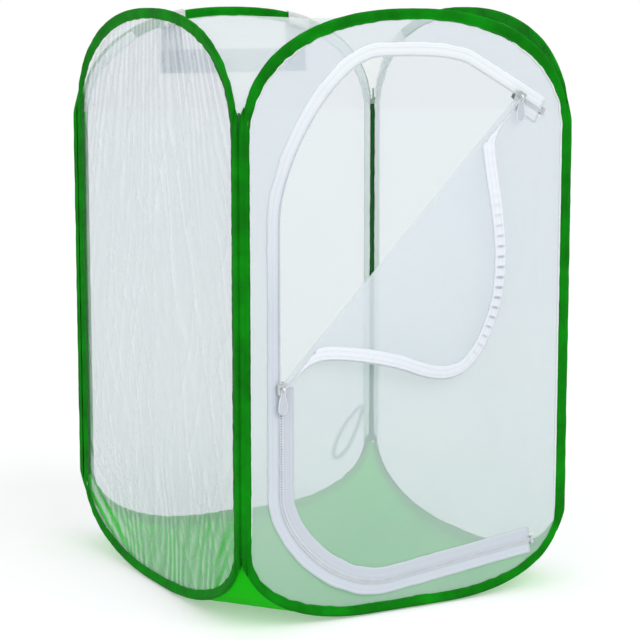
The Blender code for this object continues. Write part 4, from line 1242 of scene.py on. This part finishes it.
def make_coil(name, line, centre, depth, place_at):
    """Copies of one tooth, side by side along a line, in one mesh."""
    points, _ = spread(line, int(spread(line, 200)[1] / TOOTH_PITCH))
    places = []
    for point, side in zip(points, to_right(points)):
        here = point + side * centre
        origin = place_at(here, depth)
        across = (place_at(here + side * 0.001, depth) - origin).normalized()
        way = (place_at(here + Vector((-side.y, side.x)) * 0.001, depth) - origin).normalized()
        up = across.cross(way)
        place = Matrix((across * TOOTH_WIDE, way * TOOTH_LONG, up * TOOTH_HIGH)).transposed().to_4x4()
        place.translation = origin
        places.append(place)
    return copy_to(name, make_tooth(), places)


def flat_place(spot, depth):
    return FRONT.point(spot.x, spot.y, depth)


def flap_coil_place(spot, depth):
    return flap_spot(spot.x, spot.y, depth)


COIL_ASIDE, COIL_DEPTH = 0.00112, 0.0024
for name, line, hand in STRETCHES:
    coil = make_coil("coil_teeth_" + name, line, hand * COIL_ASIDE, COIL_DEPTH, flat_place)
    dress(coil, coil_finish, "front_panel", ["coil_" + name])
coil = make_coil("coil_teeth_flap", flap_edge, 0.0006, -0.0006, flap_coil_place)
dress(coil, coil_finish, "door_corner", ["coil_flap"])

# %% [markdown]
# ## Sliders and pulls
# Each slider is a small casting with a wide nose, lips that wrap the coils, and a bridge on top for the
# pull. The pull is stamped from sheet, curled round the bridge's bar and pressed in at its middle. The
# casting starts as boxes and the pull as a flat grid, and they get their form by moving, insetting and
# bevelling, as by hand.


# %% Boxes that are shaped by hand
def add_box(name, low, high, cuts=0):
    start_fresh()
    size = [b - a for a, b in zip(low, high)]
    middle = [(a + b) / 2 for a, b in zip(low, high)]
    bpy.ops.mesh.primitive_cube_add(size=1, location=middle, scale=size)
    box = bpy.context.object
    box.name = box.data.name = name
    bpy.ops.object.transform_apply(location=True, rotation=True, scale=True)
    if cuts:
        bpy.ops.object.mode_set(mode="EDIT")
        bpy.ops.mesh.select_all(action="SELECT")
        bpy.ops.mesh.subdivide(number_cuts=cuts)
        bpy.ops.object.mode_set(mode="OBJECT")
    return box


def round_off(piece, width, segments=2, angle=35):
    start_fresh()
    piece.select_set(True)
    bpy.context.view_layer.objects.active = piece
    soft = piece.modifiers.new("round", "BEVEL")
    soft.width = width
    soft.segments = segments
    soft.limit_method = "ANGLE"
    soft.angle_limit = math.radians(angle)
    bpy.ops.object.modifier_apply(modifier="round")
    bpy.ops.object.shade_smooth_by_angle(angle=math.radians(50))
    return piece


def join(name, pieces):
    start_fresh()
    for piece in pieces:
        piece.select_set(True)
    bpy.context.view_layer.objects.active = pieces[0]
    bpy.ops.object.join()
    pieces[0].name = pieces[0].data.name = name
    return pieces[0]


# %% A slider, drawn across x, along y and out along z
def shield(piece, length):
    """Narrow a plate towards its tail, so that it is widest at the nose."""
    for vert in piece.data.vertices:
        share = vert.co.y / length + 0.5
        vert.co.x *= 0.80 + 0.26 * math.sin(math.pi * min(1, share * 0.62 + 0.12))
    return piece


# The two plates of a slider: from what height to what height, and how far the edges are rounded
PLATES = {"top": (0.0045, 0.0057, 0.00045), "under": (-0.0016, -0.0007, 0.0003)}


def make_slider_body(name):
    length, half = 0.012, 0.0046
    parts = []
    for title, (low, high, edge) in PLATES.items():
        plate = add_box(title, (-half, -length / 2, low), (half, length / 2, high), 3)
        parts.append(round_off(shield(plate, length), edge))
    for hand in (-1, 1):
        lip = add_box("lip", (hand * half - 0.00045, -length / 2 + 0.001, 0.0028),
                      (hand * half + 0.00045, length / 2 - 0.001, 0.0050), 2)
        parts.append(round_off(shield(lip, length), 0.0003))
    wedge = add_box("wedge", (-0.0012, length / 2 - 0.0042, -0.0010), (0.0012, length / 2 - 0.0008, 0.0048))
    for vert in wedge.data.vertices:
        if vert.co.y < length / 2 - 0.003:
            vert.co.x *= 0.3
    parts.append(wedge)
    return join(name, parts)


def make_bridge(name):
    """The bridge on a slider: two legs and a level bar, in the panel's own directions."""
    bar = add_box("bar", (-0.0029, -0.0005, 0.0074), (0.0029, 0.0005, 0.0084))
    legs = [add_box("leg", (middle - 0.0004, -0.0006, 0.0053), (middle + 0.0004, 0.0006, 0.0082))
            for middle in (-0.0025, 0.0025)]
    return join(name, [round_off(part, 0.00025) for part in (bar, *legs)])


def set_on_panel(piece, place, way):
    """Turn a piece from its drawing frame to the zip's direction, and put it on the front panel."""
    across = Vector((way.y, -way.x))
    frame_of = Matrix.Identity(4)
    frame_of.col[0][:3] = (across.x, 0, across.y)
    frame_of.col[1][:3] = (way.x, 0, way.y)
    frame_of.col[2][:3] = (0, -1, 0)
    frame_of.translation = FRONT.point(place.x, place.y)
    piece.data.transform(frame_of)
    return piece


# %% A pull: a curled neck, a drop-shaped tail and a pressed middle
# How far down the pull each place is, and half its width there
PULL_SHAPE = ((0.0, 0.0018), (0.0035, 0.0018), (0.007, 0.0026), (0.011, 0.0037), (0.015, 0.0044),
              (0.019, 0.0047), (0.0215, 0.0042), (0.0232, 0.0030), (0.0242, 0.0012))


def make_pull(name):
    start_fresh()
    bpy.ops.mesh.primitive_grid_add(x_subdivisions=4, y_subdivisions=len(PULL_SHAPE) - 1, size=1)
    pull = bpy.context.object
    pull.name = pull.data.name = name
    steps = len(PULL_SHAPE) - 1
    for vert in pull.data.vertices:
        down, half = PULL_SHAPE[round((0.5 - vert.co.y) * steps)]
        vert.co = Vector((vert.co.x * 2 * half, -down, 0.0065))
    pull.data.update()
    bpy.ops.object.mode_set(mode="EDIT")
    bpy.ops.mesh.select_all(action="SELECT")
    bpy.ops.mesh.subdivide(number_cuts=1, smoothness=0.6)
    bpy.ops.object.mode_set(mode="OBJECT")
    for face in pull.data.polygons:
        face.select = abs(face.center.x) < 0.0026 and -0.0215 < face.center.y < -0.0075
    bpy.ops.object.mode_set(mode="EDIT")
    bpy.ops.mesh.inset(thickness=0.0005, depth=-0.0006)
    bpy.ops.object.mode_set(mode="OBJECT")
    sunk = {index for face in pull.data.polygons if face.select for index in face.vertices}
    # The pressed faces are marked, so that the finish can paint shade in them.
    layer = pull.data.attributes.new("pressed", "FLOAT", "POINT")
    layer.data.foreach_set("value", [float(index in sunk) for index in range(len(pull.data.vertices))])
    thicken(pull, 0.0008)
    round_off(pull, 0.0002)
    start_fresh()
    bpy.ops.mesh.primitive_torus_add(major_segments=20, minor_segments=8, major_radius=0.00135,
                                     minor_radius=0.00045, location=(0, 0, 0.0079),
                                     rotation=(0, math.pi / 2, 0))
    eye = bpy.context.object
    bpy.ops.object.transform_apply(location=True, rotation=True, scale=True)
    for vert in eye.data.vertices:
        vert.co.x *= 3.2
    bpy.ops.object.shade_smooth()
    return join(name, [pull, eye])


# %% Both sliders on the zip
UPRIGHT, TOP_WAY = Vector((0, 1)), (END - HIGH_RIGHT).normalized()
for name, place, way in (("side", SIDE_SLIDER, UPRIGHT), ("top", TOP_SLIDER, TOP_WAY)):
    body = set_on_panel(make_slider_body("slider_casting_" + name), place, way)
    bridge = set_on_panel(make_bridge("slider_bridge_" + name), place, UPRIGHT)
    casting = join("slider_casting_" + name, [body, bridge])
    dress(casting, nickel_finish, name + "_slider", ["slider_" + name])
    pull = set_on_panel(make_pull("stamped_pull_" + name), place, UPRIGHT)
    dress(pull, pull_finish, name + "_pull", ["pull_" + name])

# %% [markdown]
# ## Corner seams
# The rings are whipped together down each corner with green thread. The CAD model has a plain bead there.
# One slanting stitch is modelled and copied down the bead, and it wraps the two bindings' edges. Where the
# corner folds, the real stitches turn half as far as the rings do. In the open groove of the back right
# corner they are a little wider, and go with the right ring.


# %% Whipped stitches
SEAM_FOOT, SEAM_TOP = 0.075, 0.484
STITCH_PITCH, STITCH_SLANT, STITCH_REACH, THREAD_RADIUS = 0.0018, 0.6, 0.003, 0.0007
STITCH_RADIUS, WIDE_STITCH_RADIUS = 0.0017, 0.0023


def make_stitches(name, x, y, radius):
    """A row of slanting stitches up a corner, each a torus that is sheared."""
    start_fresh()
    bpy.ops.mesh.primitive_torus_add(major_segments=10, minor_segments=5, major_radius=radius,
                                     minor_radius=THREAD_RADIUS)
    stitch = bpy.context.object
    for vert in stitch.data.vertices:
        vert.co.z += vert.co.x * STITCH_SLANT
    count = int((SEAM_TOP - SEAM_FOOT) / STITCH_PITCH)
    heights = [SEAM_FOOT + STITCH_PITCH * (index + 0.5) for index in range(count)]
    row = copy_to(name, stitch, [Matrix.Translation((x * HALF_W, y * HALF_D, z)) for z in heights])
    row.data.shade_smooth()
    return row


thread_finish = make_plain_finish("green_thread", shade(0, 92, 20), shade(6, 124, 40), 0.6, 0, 300, 0.4)
for name, (x, y) in CORNERS.items():
    radius = WIDE_STITCH_RADIUS if name == OPEN_CORNER else STITCH_RADIUS
    row = make_stitches("corner_stitches_" + name, x, y, radius)
    if name == OPEN_CORNER:
        dress(row, thread_finish, "right_panel")
    else:
        dress(row, thread_finish)
        bend_with_corner(row, name, STITCH_REACH)
    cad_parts["corner_seam_" + name].material_slots[0].material = thread_finish.material

# %% [markdown]
# ## Webbing, carry strap and tie ribbon
# Two white webbing bands are sewn over the top of the back ring, and the carry strap hangs behind between
# them. Webbing is thick twill, so its finish has slanting ribs that turn back at the middle. A narrow
# satin ribbon hangs in a loop by the back right corner, to tie the folded cage.


# %% Webbing finish
RIB_TURN = 0.0065


def make_webbing_finish(name, pitch, tint):
    """Twill. Its slanting ribs are `pitch` apart, and turn back every RIB_TURN across the band."""
    twill = Finish(name, Roughness=0.85, Subsurface_Weight=0.6)
    twill.set("Subsurface Radius", (1, 1, 1))
    twill.set("Subsurface Scale", 0.006)
    uv, place = twill.uv(), twill.place()
    run, across = twill.split(uv)[:2]
    zigzag = (across / RIB_TURN).math("PINGPONG", 1.0) * RIB_TURN
    rib = ((run + zigzag) * (math.tau / pitch)).math("SINE") * 0.5 + 0.5
    cloud = twill.noise(place, 30, 3)
    twill.set("Base Color", twill.mix(rib * 0.3 + cloud * 0.2, tint, shade(228, 232, 235)))
    twill.set("Roughness", 0.75 + cloud * 0.2)
    twill.bump(rib + cloud * 0.3, 0.6, 0.0004)
    return twill


webbing_finish = make_webbing_finish("white_webbing", 0.0016, shade(251, 252, 253))
ribbon_finish = make_webbing_finish("white_ribbon", 0.0007, shade(244, 247, 246))


# %% Bands over the back ring
def ring_height(panel, u):
    top = [Vector((SEAM_GAP + p.x, HEIGHT - p.y)) for p in top_corner(panel)]
    top += [Vector((panel.length - p.x, p.y)) for p in reversed(top[:-1])]
    return float(np.interp(u, [p.x for p in top], [p.y for p in top]))


MIDDLE_U, HALF_APART = BACK.length / 2 + 0.007, 0.0775
CENTRES = {"left": MIDDLE_U - HALF_APART, "right": MIDDLE_U + HALF_APART}
HALF_WEBBING, BAND_ROWS = 0.013, 8

# A band's section over the ring: how far outwards, and how high over the ring's top edge
SADDLE = ((-0.0039, -0.0145), (-0.0040, -0.009), (-0.0039, -0.003), (-0.0034, -0.0006), (-0.0020, 0.0007),
          (0.0, 0.0010), (0.0020, 0.0007), (0.0034, -0.0006), (0.0039, -0.003), (0.0040, -0.009),
          (0.0039, -0.0145))


def make_saddle(side, centre):
    """A band that saddles the ring, from its inner foot over the top to its outer foot."""
    def place(column, row):
        u = centre + HALF_WEBBING * (2 * row / BAND_ROWS - 1)
        depth, rise = SADDLE[column]
        wobble = ripple((column * 0.004, u), 0.012, 71) * 0.0002
        return BACK.point(u, ring_height(BACK, u) + rise + wobble, depth + wobble)

    size = (0.034, 2 * HALF_WEBBING)
    band = lay_cloth("webbing_band_" + side, len(SADDLE) - 1, BAND_ROWS, place, size)
    return thicken(band, 0.0008, 1.0)


for side, centre in CENTRES.items():
    band = make_saddle(side, centre)
    dress(band, webbing_finish, "back_panel", ["strap_band_" + side])

# %% Carry strap that hangs behind
STRAP_TOP, STRAP_FALL, STRAP_OUT, STRAP_THICK = 0.5743, 0.058, 0.0051, 0.0006
STRAP_COLUMNS, STRAP_ROWS = 40, 6


def strap_strip(name, start, end, lift):
    """A straight run of webbing between two places, given as (u, z)."""
    start, end = Vector(start), Vector(end)
    way = end - start
    side = Vector((way.y, -way.x)).normalized()

    def place(column, row):
        aside = 2 * HALF_WEBBING * (row / STRAP_ROWS - 0.5)
        spot = start.lerp(end, column / STRAP_COLUMNS) + side * aside
        return BACK.point(spot.x, spot.y, STRAP_OUT + lift + ripple(spot, 0.03, 81) * 0.0004)

    size = (way.length, 2 * HALF_WEBBING)
    return thicken(lay_cloth(name, STRAP_COLUMNS, STRAP_ROWS, place, size), STRAP_THICK)


foot_z = STRAP_TOP - STRAP_FALL
run_z = foot_z + HALF_WEBBING
left_u, right_u = CENTRES["left"], CENTRES["right"]
runs = [strap_strip("leg", (left_u, STRAP_TOP), (left_u, run_z - HALF_WEBBING), 0.0),
        strap_strip("run", (left_u - HALF_WEBBING, run_z), (right_u + HALF_WEBBING, run_z), 0.0007),
        strap_strip("leg", (right_u, run_z - HALF_WEBBING), (right_u, STRAP_TOP), 0.0)]
strap = join("carry_webbing", runs)
dress(strap, webbing_finish, "carry_strap", ["carry_strap"])

# %% Tie ribbon
ribbon_top = Vector((BACK.length - 0.010, 0.117))
lean = math.radians(32)
fall = Vector((-math.sin(lean), -math.cos(lean)))
cross = Vector((-fall.y, fall.x))
LOOP_LENGTH, LOOP_WIDTH, HALF_RIBBON = 0.074, 0.028, 0.0024


def ribbon_path(steps=72):
    """A long loop that starts and ends at the ribbon's seam, and is widest towards its foot."""
    path = []
    for step in range(steps + 1):
        turn = math.tau * step / steps
        share = 0.5 - 0.5 * math.cos(turn)
        wide = (LOOP_WIDTH / 2 - 0.0025) * (0.45 + 0.55 * share ** 0.7)
        path.append(ribbon_top + fall * ((LOOP_LENGTH - 0.005) * share) + cross * wide * math.sin(turn))
    return path


def ribbon_place(spot, share, run):
    return BACK.point(spot.x, spot.y, 0.0039 + 0.0010 * math.sin(run * 60) * share)


tie = make_strip("tie_ribbon_loop", ribbon_path(), -HALF_RIBBON, HALF_RIBBON, ribbon_place, rows=4,
                 step=0.002)
dress(tie, ribbon_finish, "tie_ribbon", ["tie_ribbon"])

# %% [markdown]
# ## Finishes for the parts that stay as they are
# The spring wires, their crimped sleeves and the zip's end stops keep their CAD shape. They get a drawn
# steel finish, a duller plated one and the sliders' nickel.

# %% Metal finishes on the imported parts
wire_finish = make_plain_finish("drawn_steel", shade(150, 152, 154), shade(190, 192, 194),
                                0.28, 1, 160, 0.3)
sleeve_finish = make_plain_finish("plated_sleeve", shade(160, 156, 146), shade(196, 192, 182),
                                  0.35, 1, 200, 0.3)
KEPT_SHAPES = {"hoop_": wire_finish, "ferrule_": sleeve_finish, "zip_stop_": nickel_finish}
for name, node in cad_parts.items():
    for start, finish in KEPT_SHAPES.items():
        if name.startswith(start):
            for slot in node.material_slots:
                slot.material = finish.material
            print(name, "gets", finish.material.name)
